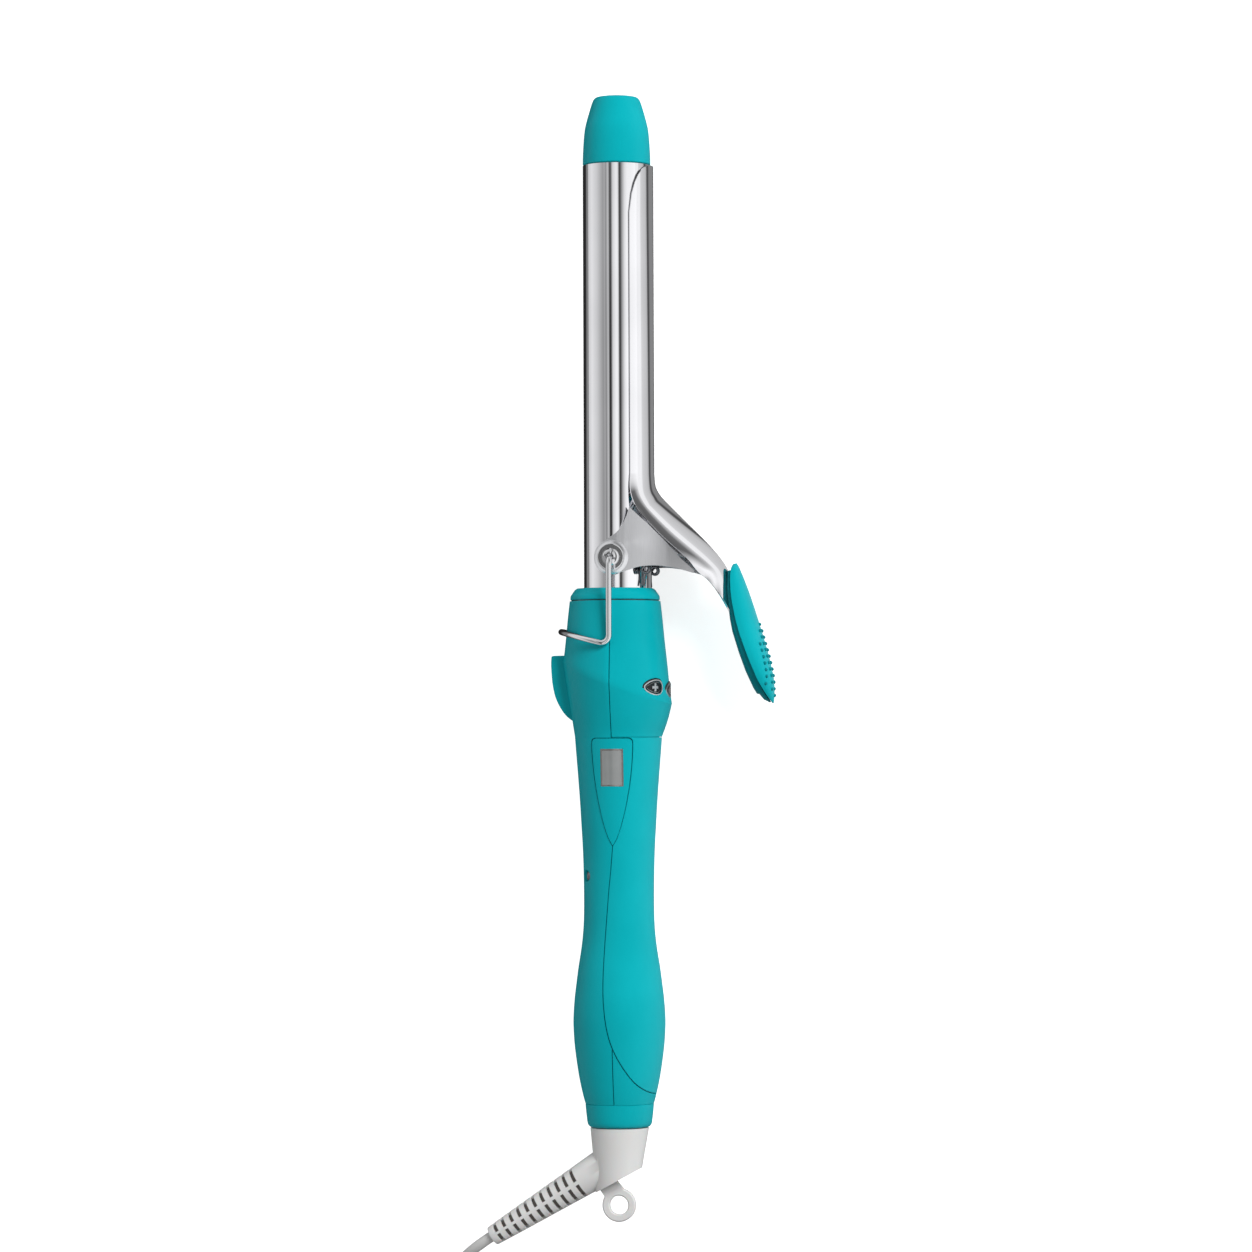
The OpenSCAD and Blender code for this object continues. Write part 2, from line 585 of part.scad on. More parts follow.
tang_stations = [[root_x + 42.6, pivot_z - 12, 10, 6.4, 1.9], [root_x + 43.4, pivot_z - 19, 8, 4.8, 0.9],
    [root_x + 44, pivot_z - 24, 8, 3.2, 0.4]];
arc_steps = 10;

// The cross section of the curved sheet at a station: out over the crown, back underneath
function bow(s) = (s[3] * s[3] + s[4] * s[4]) / (2 * s[4]);
function sheet_ring(s, t) =
    let (r = bow(s), a = asin(min(1, s[3] / r)), n = [cos(s[2]), 0, sin(s[2])], c = [s[0], 0, s[1]])
    concat([for (k = [-arc_steps:arc_steps]) c - (r - r * cos(a * k / arc_steps)) * n + [0, r * sin(a * k / arc_steps), 0]],
        [for (k = [arc_steps:-1:-arc_steps]) c - (r - (r - t) * cos(a * k / arc_steps)) * n
            + [0, (r - t) * sin(a * k / arc_steps), 0]]);
// A station moved outwards by g all round, and one whose arc is longer by e at both ends
function grown(s, g) = let (k = (bow(s) + g) / bow(s)) [s[0] + g * cos(s[2]), s[1] + g * sin(s[2]), s[2], s[3] * k, s[4] * k];
function wider(s, e) = let (r = bow(s), w = s[3] + e) [s[0], s[1], s[2], w, r - sqrt(max(0, r * r - w * w))];

blade_line = concat(smooth(blade_stations, 2), smooth(concat(lever_stations, tang_stations), 2));
pad_first = 22;   // place in the line where the pad's pocket begins
module clip_blade() color(steel) on_table() skin([for (s = blade_line) sheet_ring(s, clip_t)]);

// The web joins the ears along the crease under the lever
crease_mid = [20.1, pivot_z + 5.5];
web_t = 1;
web_len = 12;
module clip_bracket() color(satin) on_table() {
    each_side() difference() {
        union() {
            translate([0, ear_y + bracket_t, 0]) rotate([90, 0, 0]) linear_extrude(bracket_t) ear_outline();
            translate([0, ear_y + bracket_t - eps, pivot_z]) rotate([-90, 0, 0]) cylinder(r1 = 6.1, r2 = 4.9, h = boss_h);
        }
        pin_y(pivot_d / 2 + slip, ear_y - 1, washer_y + 1, z = pivot_z);
    }
    translate([crease_mid[0], 0, crease_mid[1]]) rotate([0, -45, 0]) translate([-web_t - 0.2, -ear_y - bracket_t / 2, -web_len / 2])
        cube([web_t, 2 * ear_y + bracket_t, web_len]);
}
module ear_outline() {
    turn = arc_of([0, pivot_z], 6.3, 124, 256, 11);
    lower = smooth([[-0.9, pivot_z - 6.24], [4.3, pivot_z - 5.3], [10.6, pivot_z - 3.5], [17, pivot_z - 2.9], [23.4, pivot_z - 3.2]], 3);
    crease = [[ear_reach, pivot_z - 1.8], [20.4, pivot_z + 5.2], [13.4, pivot_z + 12.2], [9.6, pivot_z + 15.6]];
    upper = smooth([[6.6, pivot_z + 18.4], [5.4, pivot_z + 14.6], [2.6, pivot_z + 9.8], [-1, pivot_z + 7], [-2.96, pivot_z + 5.56]], 3);
    polygon(concat(turn, lower, crease, upper));
}

// ---------- thumb pad ----------

pad_x = lever_reach + 0.2;
pad_u = pad_len / 53.2;
pad_z = pivot_z - 2.2;
module at_pad() translate([pad_x, 0, pad_z]) rotate([0, 180 - pad_lean, 0]) children();
// Stations along the pad: place, half width, crown, rim; the pad's own Z runs down its length
pad_top = [[0, 0.08, 0.1, -1.2], [1.5, 0.34, 0.6, -2], [5, 0.55, 1.1, -3], [10.5, 0.76, 1.7, -3.9], [16, 0.9, 2.1, -4.3],
    [24, 0.99, 2.5, -4.4], [33, 1, 2.8, -3.7], [40, 0.9, 2.7, -2.95], [45, 0.74, 2.35, -2.2], [49.7, 0.45, 1.35, -1.1],
    [52.4, 0.18, 0.5, -0.4], [53.2, 0.04, 0.1, -0.2]];
pad_under = [[2, 0.34, -2.5, -3.9], [8, 0.58, -3.9, -5.6], [13.5, 0.72, -4.4, -6.5], [19.5, 0.82, -4.6, -7.3],
    [24, 0.87, -4.6, -7.6], [32, 0.88, -4, -7.3], [39.3, 0.78, -3.25, -6.7], [46, 0.56, -2.3, -5.6], [48.3, 0.45, -1.8, -4.9],
    [48.6, 0.43, -1.7, -4.1], [51, 0.26, -1.2, -3], [52.6, 0.08, -0.8, -1.2]];
pad_steps = 12;
function pad_ring(s, low) = let (w = s[1] * pad_w / 2)
    [for (k = [0:pad_steps]) let (a = 180 * k / pad_steps)
        [-(low ? s[2] + (s[3] - s[2]) * pow(sin(a), 0.6) : s[3] + (s[2] - s[3]) * pow(sin(a), 0.6)),
            (low ? 1 : -1) * w * cos(a), s[0] * pad_u]];
module pad_cover() color(teal) on_table() difference() {
    at_pad() skin([for (s = smooth(pad_top, 2)) pad_ring(s, false)]);
    pad_screw_holes();
    tang_pocket();
}
module pad_base() color("#00868c") on_table() difference() {
    at_pad() skin([for (s = pad_under) pad_ring(s, true)]);
    pad_screw_holes();
    tang_pocket();
}
// Room for the clip's tang between the two halves of the pad
module tang_pocket() skin([for (s = concat([for (i = [pad_first:len(blade_line) - 1]) blade_line[i]],
    [tang_stations[2] + [0.14, -1, 0, 0, 0]])) sheet_ring(wider(grown(s, seat), 0.4), clip_t + 2 * seat)]);
pad_screw_z = [28, 38];
pad_screw_r = 0.9;
module pad_screw_holes() at_pad() for (z = pad_screw_z) translate([-0.5, 0, z * pad_u]) rotate([0, 90, 0])
    cylinder(r = pad_screw_r + slip, h = 20, $fn = 24);
module pad_screws() color(steel) on_table() at_pad() for (z = pad_screw_z) translate([-0.3, 0, z * pad_u]) rotate([0, 90, 0])
    cylinder(r = pad_screw_r, h = 6.2, $fn = 24);

// ---------- stand ----------

wire_r = wire_d / 2;
// The wire's middle: in from one pivot screw, down the leg, round the heel's side and back up
half_path = concat([[0, stand_half - bend_r - 0.5, 0]],
    [for (a = [0:22.5:90]) [0, stand_half - bend_r + bend_r * sin(a), -bend_r + bend_r * cos(a)]],
    [for (k = [0:5]) let (a = (90 + stand_climb) * k / 5)
        [-bend_r + bend_r * cos(a), stand_half, -stand_drop + bend_r - bend_r * sin(a)]]);
cross_path = [for (a = [9:9:171]) [
    -bend_r - stand_half * sin(a) * cos(stand_climb) - bend_r * sin(stand_climb), stand_half * cos(a),
    -stand_drop + bend_r + stand_half * sin(a) * sin(stand_climb) - bend_r * cos(stand_climb)]];
stand_path = concat(half_path, cross_path,
    [for (i = [len(half_path) - 1:-1:0]) [half_path[i][0], -half_path[i][1], half_path[i][2]]]);
module stand_wire() color(steel) on_table() translate([0, 0, pivot_z]) {
    each_side() pin_y(wire_r, barrel_r + 1.8, stand_half - bend_r);
    tube_along(stand_path, wire_r - 0.02, 12);
}

// ---------- swivel boot and its ring ----------

boot_r = boot_d / 2;
elbow_z = -11;
arm_root_r = 7;
arm_end_r = 3.7;
slot_n = 11;
slot_pitch = (boot_arm - 17.5 - 4.8) / slot_n;
slot_w = 1.2;
function arm_r(t) = arm_root_r - (arm_root_r - arm_end_r) * t / boot_arm;
corner = [boot_r - 2.4, elbow_z - 4];
cut_tilt = boot_drop - 3.5;
module at_arm() translate([0, 0, elbow_z]) rotate([0, -90 - boot_drop, 0]) children();
module above_cut(gap = 0) translate([corner[0], 0, corner[1]]) rotate([0, -cut_tilt, 0])
    translate([-60, -30, gap]) cube([90, 60, 60]);
module cord_boot() color(white) on_table() difference() {
    union() {
        intersection() {
            rotate_extrude() polygon([[0, -free], [boot_r - 0.3, -free], [boot_r, -1], [boot_r - 0.9, -3.3], [boot_r - 1.1, -6.3],
                [boot_r - 2.3, elbow_z - 4], [boot_r - 3, elbow_z - 14], [0, elbow_z - 14]]);
            above_cut();
        }
        at_arm() rotate_extrude() polygon(concat([[0, 0], [arm_root_r, 0]],
            [for (i = [0:slot_n - 1]) let (t = 17.5 + slot_pitch * i) each [[arm_r(t), t], [arm_r(t) - 1.1, t],
                [arm_r(t + slot_w) - 1.1, t + slot_w], [arm_r(t + slot_w), t + slot_w]]],
            [[arm_end_r + 0.1, boot_arm - 4.8], [arm_end_r + 0.25, boot_arm - 4], [arm_end_r, boot_arm - 0.4],
                [arm_end_r - 0.4, boot_arm], [0, boot_arm]]));
    }
    translate([0, 0, elbow_z + 3.5]) cylinder(r = spindle_r + seat, h = 20);
    at_arm() translate([0, 0, 2]) cylinder(r = cord_d / 2 + 0.3, h = boot_arm);
    translate([0, 0, elbow_z]) cylinder(r = 2.6, h = 8);
}

ring_r = ring_hole_r + ring_band;
ring_mid_z = corner[1] - corner[0] * tan(cut_tilt) - 2.9 - ring_r;
ring_t = 2.7;
module hang_loop() color(white) on_table() difference() {
    union() {
        pin_y(ring_r, -ring_t / 2, ring_t / 2, z = ring_mid_z);
        difference() {
            translate([-2.2, -ring_t / 2, ring_mid_z]) cube([4.4, ring_t, ring_r + 12]);
            above_cut(-eps);
        }
    }
    pin_y(ring_hole_r, -ring_t, ring_t, z = ring_mid_z);
}

// ---------- cord, coil, tie and plug, as they lie on the table ----------

// The cord's middle from inside the boot to where the coil starts
cord_points = [[-45.5, -205, 45.5], [-50.5, -208, 47], [-56.5, -212, 47.5], [-62, -216, 46], [-67.5, -220.5, 43],
    [-73, -225.5, 38.5], [-78, -230.5, 33], [-83, -236, 27], [-88, -241.5, 21], [-92.5, -246.5, 15.5],
    [-96.5, -251.5, 10.2], [-101, -258, 6], [-104.9, -264.5, 3.4], [-107.4, -272, 2.2], [-107.8, -278, 2]];
module cord_tail() color("#c9cac8") tube_along(cord_points, cord_d / 2);

coil_at = [-79.5, -282];
coil_mid_r = 22;
coil_wide = 3 * cord_d;
coil_high = 4 * cord_d;
module cord_coil() color("#c9cac8") translate([coil_at[0], coil_at[1], 0]) rotate_extrude()
    translate([coil_mid_r - coil_wide / 2, 0]) square([coil_wide, coil_high]);

tie_turn = 250;
tie_w = 5;
tie_t = 0.8;
module cord_tie() color("#e6e6e2") translate([coil_at[0], coil_at[1], 0]) rotate([0, 0, tie_turn])
    translate([coil_mid_r, 0, 0]) difference() {
        translate([-coil_wide / 2 - free - tie_t, -tie_w / 2, 0])
            cube([coil_wide + 2 * (free + tie_t), tie_w, coil_high + seat + tie_t]);
        translate([-coil_wide / 2 - free, -tie_w, -1])
            cube([coil_wide + 2 * free, 2 * tie_w, coil_high + seat + 1]);
    }

// The plug's own Y runs from its stem to its blades
plug_turn = -25;
plug_z = 6;
stem_len = 12;
plug_len = 26;
prong_out = 17;
prong_w = 6.3;
prong_t = 1.5;
prong_half = 6.35;
module at_plug() translate([-49.5, -278, plug_z]) rotate([0, 0, plug_turn]) children();
module plug_body() color(white) at_plug() difference() {
    union() {
        hull() {
            translate([-9, stem_len + plug_len - 18, -6]) cube([18, 18, 12]);
            translate([-6, stem_len, -4]) cube([12, 6, 8]);
            translate([-11, stem_len + plug_len - 16, -4]) cube([22, 14, 8]);
        }
        rotate([-90, 0, 0]) cylinder(r1 = cord_d / 2 + 0.8, r2 = cord_d / 2 + 2.2, h = stem_len);
    }
    for (x = [-prong_half, prong_half]) translate([x - prong_t / 2 - slip, stem_len + plug_len - 9, -prong_w / 2 - slip])
        cube([prong_t + 2 * slip, 10, prong_w + 2 * slip]);
}
module plug_blades() color(steel) at_plug() for (x = [-prong_half, prong_half])
    translate([x - prong_t / 2, stem_len + plug_len - 9, -prong_w / 2]) cube([prong_t, 9 + prong_out, prong_w]);

barrel_tube();
tip_cap();
tip_insulator();
heater_carrier_front();
heater_carrier_back();
heater_plate();
thermistor();
thermal_fuse();
barrel_base();
collar();
pivot_screws();
pivot_washers();
clip_springs();
handle_shell_left();
handle_shell_right();
grip_panel();
display_bezel();
display_window();
display_module();
main_board();
control_board();
tact_switches();
button_trims();
button_plus();
button_minus();
button_power();
shell_screws();
end_collar();
swivel_socket();
brush_contacts();
mains_leads();
heater_leads();
clip_blade();
clip_bracket();
pad_cover();
pad_base();
pad_screws();
stand_wire();
cord_boot();
hang_loop();
swivel_spindle();
slip_rings();
cord_tail();
cord_coil();
cord_tie();
plug_body();
plug_blades();
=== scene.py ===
"""A curling iron that lies on its side: the visible pieces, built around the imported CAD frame."""
import math

import bmesh
import bpy
from mathutils import Matrix, Vector


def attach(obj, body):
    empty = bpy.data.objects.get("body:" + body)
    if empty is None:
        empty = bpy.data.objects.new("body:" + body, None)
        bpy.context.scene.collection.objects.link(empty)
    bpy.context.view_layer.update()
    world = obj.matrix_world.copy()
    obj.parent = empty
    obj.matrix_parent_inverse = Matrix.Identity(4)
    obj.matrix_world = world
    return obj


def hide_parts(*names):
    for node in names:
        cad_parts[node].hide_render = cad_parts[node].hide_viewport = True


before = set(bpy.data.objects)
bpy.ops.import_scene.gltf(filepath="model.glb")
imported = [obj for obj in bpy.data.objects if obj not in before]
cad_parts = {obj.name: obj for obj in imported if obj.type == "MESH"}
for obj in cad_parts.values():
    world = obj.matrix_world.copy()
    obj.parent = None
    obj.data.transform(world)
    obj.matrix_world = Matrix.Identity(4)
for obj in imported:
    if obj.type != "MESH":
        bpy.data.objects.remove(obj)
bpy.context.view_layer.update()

# ---------- places ----------
# Pieces are drawn in millimetres in the iron's own frame: Z runs from the cord end to the tip,
# the display looks along -Y and the thumb lever stands out along +X.
MM = 0.001
REST_ROLL, REST_PITCH = math.radians(14.512), math.radians(3.21843)
REST_PLACE = (-4.15024, -167.903, 32.603)
IRON = (Matrix.Scale(MM, 4) @ Matrix.Translation(REST_PLACE) @ Matrix.Rotation(-REST_PITCH, 4, "X")
        @ Matrix.Rotation(REST_ROLL, 4, "Y") @ Matrix.Rotation(-math.pi / 2, 4, "X"))
ROW = Matrix.Scale(MM, 4)

BARREL_R, LEVER_X = 12.5, 43.9
HEAD_Z, BARREL_Z, PIVOT_Z, TIP_Z, END_Z = 143.2, 197.8, 208.9, 354.2, 379.4

# ---------- camera ----------
# The camera stands a little to the right of the display's front and looks across the iron's length
VIEW_TURN = math.radians(9.5)
TO_CAMERA = Vector((math.sin(VIEW_TURN), -math.cos(VIEW_TURN), 0))
TO_RIGHT = Vector((math.cos(VIEW_TURN), math.sin(VIEW_TURN), 0))
VIEW_RIGHT, VIEW_Z, EYE_Z, VIEW_DISTANCE = 2.9, 184.0, 141.0, 1730.0
LENS, SENSOR, ROLL = 135.0, 36.0, math.radians(-0.2)


def add_camera():
    camera = bpy.data.objects.new("camera", bpy.data.cameras.new("camera"))
    camera.data.lens, camera.data.sensor_width = LENS, SENSOR
    bpy.context.scene.collection.objects.link(camera)
    target = IRON @ (TO_RIGHT * VIEW_RIGHT + Vector((0, 0, VIEW_Z)))
    eye = IRON @ (TO_RIGHT * VIEW_RIGHT + TO_CAMERA * VIEW_DISTANCE + Vector((0, 0, EYE_Z)))
    back = (eye - target).normalized()
    right = (IRON.to_3x3() @ Vector((0, 0, 1))).cross(back).normalized()
    frame_turn = Matrix((right, back.cross(right), back)).transposed().to_4x4() @ Matrix.Rotation(ROLL, 4, "Z")
    camera.matrix_world = Matrix.Translation(eye) @ frame_turn
    bpy.context.scene.camera = camera


add_camera()

# ---------- helpers ----------
# Points closer than this, in millimetres, are one point
SAME_PLACE = 0.0005


def smooth_line(points, steps):
    """Points on a smooth line through the given ones, which may have any number of values."""
    line = [Vector(p) for p in points]
    line = [line[0]] + line + [line[-1]]
    made = []
    for a, b, c, d in zip(line, line[1:], line[2:], line[3:]):
        for k in range(steps):
            t = k / steps
            made.append(0.5 * (2 * b + (c - a) * t + (2 * a - 5 * b + 4 * c - d) * t * t
                               + (3 * b - a - 3 * c + d) * t ** 3))
    return made + [Vector(points[-1])]


def mix(a, b, t):
    return a + (b - a) * t


def eased(t):
    """A share from 0 to 1 that starts and stops gently."""
    return t * t * (3 - 2 * t)


def curve_piece(name, points, radius, place, sides=4, cyclic=False):
    """A round wire or cord along points."""
    curve = bpy.data.curves.new(name, "CURVE")
    curve.dimensions = "3D"
    curve.bevel_depth, curve.bevel_resolution, curve.use_fill_caps = radius * MM, sides, True
    spline = curve.splines.new("POLY")
    spline.points.add(len(points) - 1)
    for point, at in zip(spline.points, points):
        point.co = (*(place @ Vector(at)), 1)
    spline.use_cyclic_u = cyclic
    spline.use_smooth = True
    piece = bpy.data.objects.new(name, curve)
    bpy.context.scene.collection.objects.link(piece)
    return piece


def settle(piece, material, body, slot, *nodes):
    """Gives a piece its finish and its body, and hides the CAD nodes that it stands for."""
    piece.data.materials.clear()
    piece.data.materials.append(material)
    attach(piece, body)
    if nodes:
        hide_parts(*nodes)
    return piece


def turned(x=0.0, y=0.0, z=0.0, degrees=0.0, axis="Z"):
    """A move after a turn about one axis."""
    return Matrix.Translation((x, y, z)) @ Matrix.Rotation(math.radians(degrees), 4, axis)


def moved(bm, place):
    bmesh.ops.transform(bm, matrix=place, verts=bm.verts)
    return bm


def to_piece(name, bm, place=IRON, turn_out=True):
    """Moves a drawing to its place and makes it an object."""
    bmesh.ops.remove_doubles(bm, verts=bm.verts, dist=SAME_PLACE)
    moved(bm, place)
    if turn_out:
        bmesh.ops.recalc_face_normals(bm, faces=bm.faces)
    mesh = bpy.data.meshes.new(name)
    bm.to_mesh(mesh)
    bm.free()
    piece = bpy.data.objects.new(name, mesh)
    bpy.context.scene.collection.objects.link(piece)
    return piece


def shade(piece, sharp=35.0):
    """Smooth shading that breaks at edges sharper than the given angle."""
    mesh = piece.data
    mesh.polygons.foreach_set("use_smooth", [True] * len(mesh.polygons))
    mesh.set_sharp_from_angle(angle=math.radians(sharp))
    return piece


def soften(piece, width, segments=2, angle=35.0):
    """Rounds a piece's sharp edges."""
    bevel = piece.modifiers.new("soften", "BEVEL")
    bevel.width, bevel.segments, bevel.limit_method = width * MM, segments, "ANGLE"
    bevel.angle_limit = math.radians(angle)
    return piece


def bake(piece):
    """Applies a piece's modifiers to its mesh."""
    graph = bpy.context.evaluated_depsgraph_get()
    mesh = bpy.data.meshes.new_from_object(piece.evaluated_get(graph))
    piece.modifiers.clear()
    piece.data = mesh
    return piece


def carve(piece, *cutters, operation="DIFFERENCE"):
    """Cuts a piece with others, which are then thrown away."""
    for cutter in cutters:
        step = piece.modifiers.new("carve", "BOOLEAN")
        step.object, step.operation, step.solver = cutter, operation, "EXACT"
    bpy.context.view_layer.update()
    bake(piece)
    for cutter in cutters:
        bpy.data.objects.remove(cutter)
    return piece


def spun(profile, place=Matrix(), steps=96):
    """A closed round form from (radius, height) points, about Z."""
    bm = bmesh.new()
    line = [bm.verts.new((r, 0, z)) for r, z in profile]
    edges = [bm.edges.new(pair) for pair in zip(line, line[1:])]
    bmesh.ops.spin(bm, geom=line + edges, cent=(0, 0, 0), axis=(0, 0, 1), angle=math.tau, steps=steps,
                   use_merge=True, use_duplicate=False)
    bmesh.ops.remove_doubles(bm, verts=bm.verts, dist=SAME_PLACE)
    return moved(bm, place)


def slab(outline, height, place=Matrix()):
    """An upright plate from a flat outline in X and Y, from Z 0 up."""
    bm = bmesh.new()
    face = bm.faces.new([bm.verts.new((x, y, 0)) for x, y in outline])
    made = bmesh.ops.extrude_face_region(bm, geom=[face])["geom"]
    bmesh.ops.translate(bm, vec=(0, 0, height), verts=[v for v in made if isinstance(v, bmesh.types.BMVert)])
    bmesh.ops.recalc_face_normals(bm, faces=bm.faces)
    return moved(bm, place)


def loft(rings):
    """A closed skin through closed rings of points that all have the same count."""
    bm = bmesh.new()
    loops = []
    for ring in rings:
        line = [bm.verts.new(p) for p in ring]
        loops.append([bm.edges.new(pair) for pair in zip(line, line[1:] + line[:1])])
    for low, high in zip(loops, loops[1:]):
        bmesh.ops.bridge_loops(bm, edges=low + high)
    for loop in (loops[0], loops[-1]):
        bmesh.ops.contextual_create(bm, geom=loop)
    return bm


def merged(target, source):
    """Adds one drawing to another."""
    mesh = bpy.data.meshes.new("part")
    source.to_mesh(mesh)
    source.free()
    target.from_mesh(mesh)
    bpy.data.meshes.remove(mesh)
    return target


def oblong(half_x, half_y, x=0.0, y=0.0):
    """The outline of a rectangle about a middle."""
    return [(x - half_x, y - half_y), (x + half_x, y - half_y), (x + half_x, y + half_y), (x - half_x, y + half_y)]


def band(inner, outer, first, last, step):
    """The outline of a part of a flat ring, between two turns in degrees."""
    arc = [math.radians(a) for a in range(first, last + 1, step)]
    return ([(outer * math.cos(a), outer * math.sin(a)) for a in arc]
            + [(inner * math.cos(a), inner * math.sin(a)) for a in reversed(arc)])


# ---------- finishes ----------


def linear(code):
    """The linear colour of an sRGB hex value."""
    parts = [int(code[i:i + 2], 16) / 255 for i in (1, 3, 5)]
    return (*[c / 12.92 if c <= 0.04045 else ((c + 0.055) / 1.055) ** 2.4 for c in parts], 1.0)


def set_inputs(tree, node, inputs):
    """Sets a node's sockets, or links them: a socket stands for itself, and a node for its first output."""
    for key, value in inputs.items():
        if isinstance(value, bpy.types.Node):
            value = value.outputs[0]
        if isinstance(value, bpy.types.NodeSocket):
            tree.links.new(value, node.inputs[key])
        else:
            node.inputs[key].default_value = value


def add_node(tree, kind, inputs=None, **settings):
    """Adds a node, sets it up and fills or links its sockets."""
    made = tree.nodes.new(kind)
    for key, value in settings.items():
        setattr(made, key, value)
    set_inputs(tree, made, inputs or {})
    return made


def new_finish(name, **shader):
    """A material with its shader's sockets set, and the tree, the shader and Object coordinates to work on."""
    material = bpy.data.materials.new(name)
    material.use_nodes = True
    tree = material.node_tree
    gloss = tree.nodes["Principled BSDF"]
    set_inputs(tree, gloss, {key.replace("_", " "): value for key, value in shader.items()})
    place = add_node(tree, "ShaderNodeTexCoord").outputs["Object"]
    return material, tree, gloss, place


def set_stops(ramp, *stops):
    """Sets a ramp's places and linear colours."""
    marks = ramp.color_ramp.elements
    while len(marks) < len(stops):
        marks.new(0.5)
    for mark, (at, colour) in zip(marks, stops):
        mark.position, mark.color = at, colour


def moulded(name, dark, light, rough, grain_mm, depth_mm, **shader):
    """Moulded plastic: a fine spark-eroded grain from the tool, and a slight drift of colour and gloss."""
    material, tree, gloss, place = new_finish(name, IOR=1.53, **shader)
    drift = add_node(tree, "ShaderNodeTexNoise", {"Vector": place, "Scale": 1 / (DRIFT * MM)})
    shades = add_node(tree, "ShaderNodeValToRGB", {"Fac": drift})
    set_stops(shades, (0.35, linear(dark)), (0.65, linear(light)))
    wear = add_node(tree, "ShaderNodeMapRange", {"Value": drift, "To Min": rough - 0.03, "To Max": rough + 0.03})
    grain = add_node(tree, "ShaderNodeTexNoise", {"Vector": place, "Scale": 1 / (grain_mm * MM), "Detail": 1.0})
    relief = add_node(tree, "ShaderNodeBump", {"Height": grain, "Distance": depth_mm * MM, "Strength": 1.0})
    set_inputs(tree, gloss, {"Base Color": shades, "Roughness": wear, "Normal": relief})
    return material


def plated(name, dark, light, rough):
    """Bright plate on a polished surface: faint wipe marks in the gloss and hair-fine scratches along the iron."""
    material, tree, gloss, place = new_finish(name, Metallic=1.0)
    drift = add_node(tree, "ShaderNodeTexNoise", {"Vector": place, "Scale": 1 / (DRIFT * MM)})
    shades = add_node(tree, "ShaderNodeValToRGB", {"Fac": drift})
    set_stops(shades, (0.35, linear(dark)), (0.65, linear(light)))
    wipes = add_node(tree, "ShaderNodeTexNoise", {"Vector": place, "Scale": 1 / (WIPE * MM), "Detail": 3.0})
    wear = add_node(tree, "ShaderNodeMapRange", {"Value": wipes, "To Min": rough, "To Max": rough + 0.02})
    along = add_node(tree, "ShaderNodeMapping", {"Vector": place, "Rotation": (REST_PITCH, 0, 0), "Scale": (1, 0.02, 1)})
    hairs = add_node(tree, "ShaderNodeTexNoise", {"Vector": along, "Scale": 1 / (HAIR * MM)})
    relief = add_node(tree, "ShaderNodeBump", {"Height": hairs, "Distance": HAIR_DEPTH * MM, "Strength": 1.0})
    set_inputs(tree, gloss, {"Base Color": shades, "Roughness": wear, "Normal": relief})
    return material


def brushed(name, dark, light, rough, line_mm):
    """Metal brushed or drawn along its length: fine lines that spread the shine across them."""
    material, tree, gloss, place = new_finish(name, Metallic=1.0, Anisotropic=0.45)
    along = add_node(tree, "ShaderNodeMapping", {"Vector": place, "Rotation": (REST_PITCH, 0, 0), "Scale": (1, 0.03, 1)})
    lines = add_node(tree, "ShaderNodeTexNoise", {"Vector": along, "Scale": 1 / (line_mm * MM), "Detail": 3.0})
    shades = add_node(tree, "ShaderNodeValToRGB", {"Fac": lines})
    set_stops(shades, (0.3, linear(dark)), (0.7, linear(light)))
    wear = add_node(tree, "ShaderNodeMapRange", {"Value": lines, "To Min": rough - 0.02, "To Max": rough + 0.02})
    relief = add_node(tree, "ShaderNodeBump", {"Height": lines, "Distance": BRUSH_DEPTH * MM, "Strength": 1.0})
    set_inputs(tree, gloss, {"Base Color": shades, "Roughness": wear, "Normal": relief})
    return material


def solder_mask(name, dark, light):
    """Glass-epoxy board: the weave of the glass, 0.5 mm a thread, shows faintly through the green mask."""
    material, tree, gloss, place = new_finish(name, IOR=1.55, Roughness=0.3, Coat_Weight=0.3)
    weave = add_node(tree, "ShaderNodeTexChecker", {"Vector": place, "Scale": 1 / (THREAD * MM)}).outputs["Fac"]
    shades = add_node(tree, "ShaderNodeValToRGB", {"Fac": weave})
    set_stops(shades, (0.35, linear(dark)), (0.65, linear(light)))
    relief = add_node(tree, "ShaderNodeBump", {"Height": weave, "Distance": WEAVE_DEPTH * MM, "Strength": 1.0})
    set_inputs(tree, gloss, {"Base Color": shades, "Normal": relief})
    return material


def tinted_acrylic(name, dark, light):
    """Tinted acrylic over a grey display: glossy, with a faint cast of light and shade behind it."""
    material, tree, gloss, place = new_finish(name, IOR=1.49, Roughness=0.12, Coat_Weight=0.5)
    cast = add_node(tree, "ShaderNodeTexNoise", {"Vector": place, "Scale": 1 / (CAST * MM)})
    shades = add_node(tree, "ShaderNodeValToRGB", {"Fac": cast})
    set_stops(shades, (0.35, linear(dark)), (0.65, linear(light)))
    set_inputs(tree, gloss, {"Base Color": shades})
    return material


# Sizes of the patterns in millimetres
DRIFT, WIPE, HAIR, THREAD, CAST = 24.0, 9.0, 0.5, 0.5, 8.0
HAIR_DEPTH, BRUSH_DEPTH, WEAVE_DEPTH = 0.0015, 0.0003, 0.01

# The handle's moulded ABS has a fine matt grain of 0.3 mm, drawn at 0.5 mm so that it shows
TEAL_ABS = moulded("moulded ABS, matt teal", "#00A8B2", "#04AEB8", 0.42, 0.5, 0.012, Specular_IOR_Level=0.14)
# The let-in panel is the same colour with a soft-touch lacquer, which sheens a little at grazing light
SOFT_TEAL = moulded("soft-touch lacquer on ABS, teal", "#00ABB5", "#04B1BB", 0.45, 0.6, 0.01,
                    Specular_IOR_Level=0.14, Sheen_Weight=0.04)
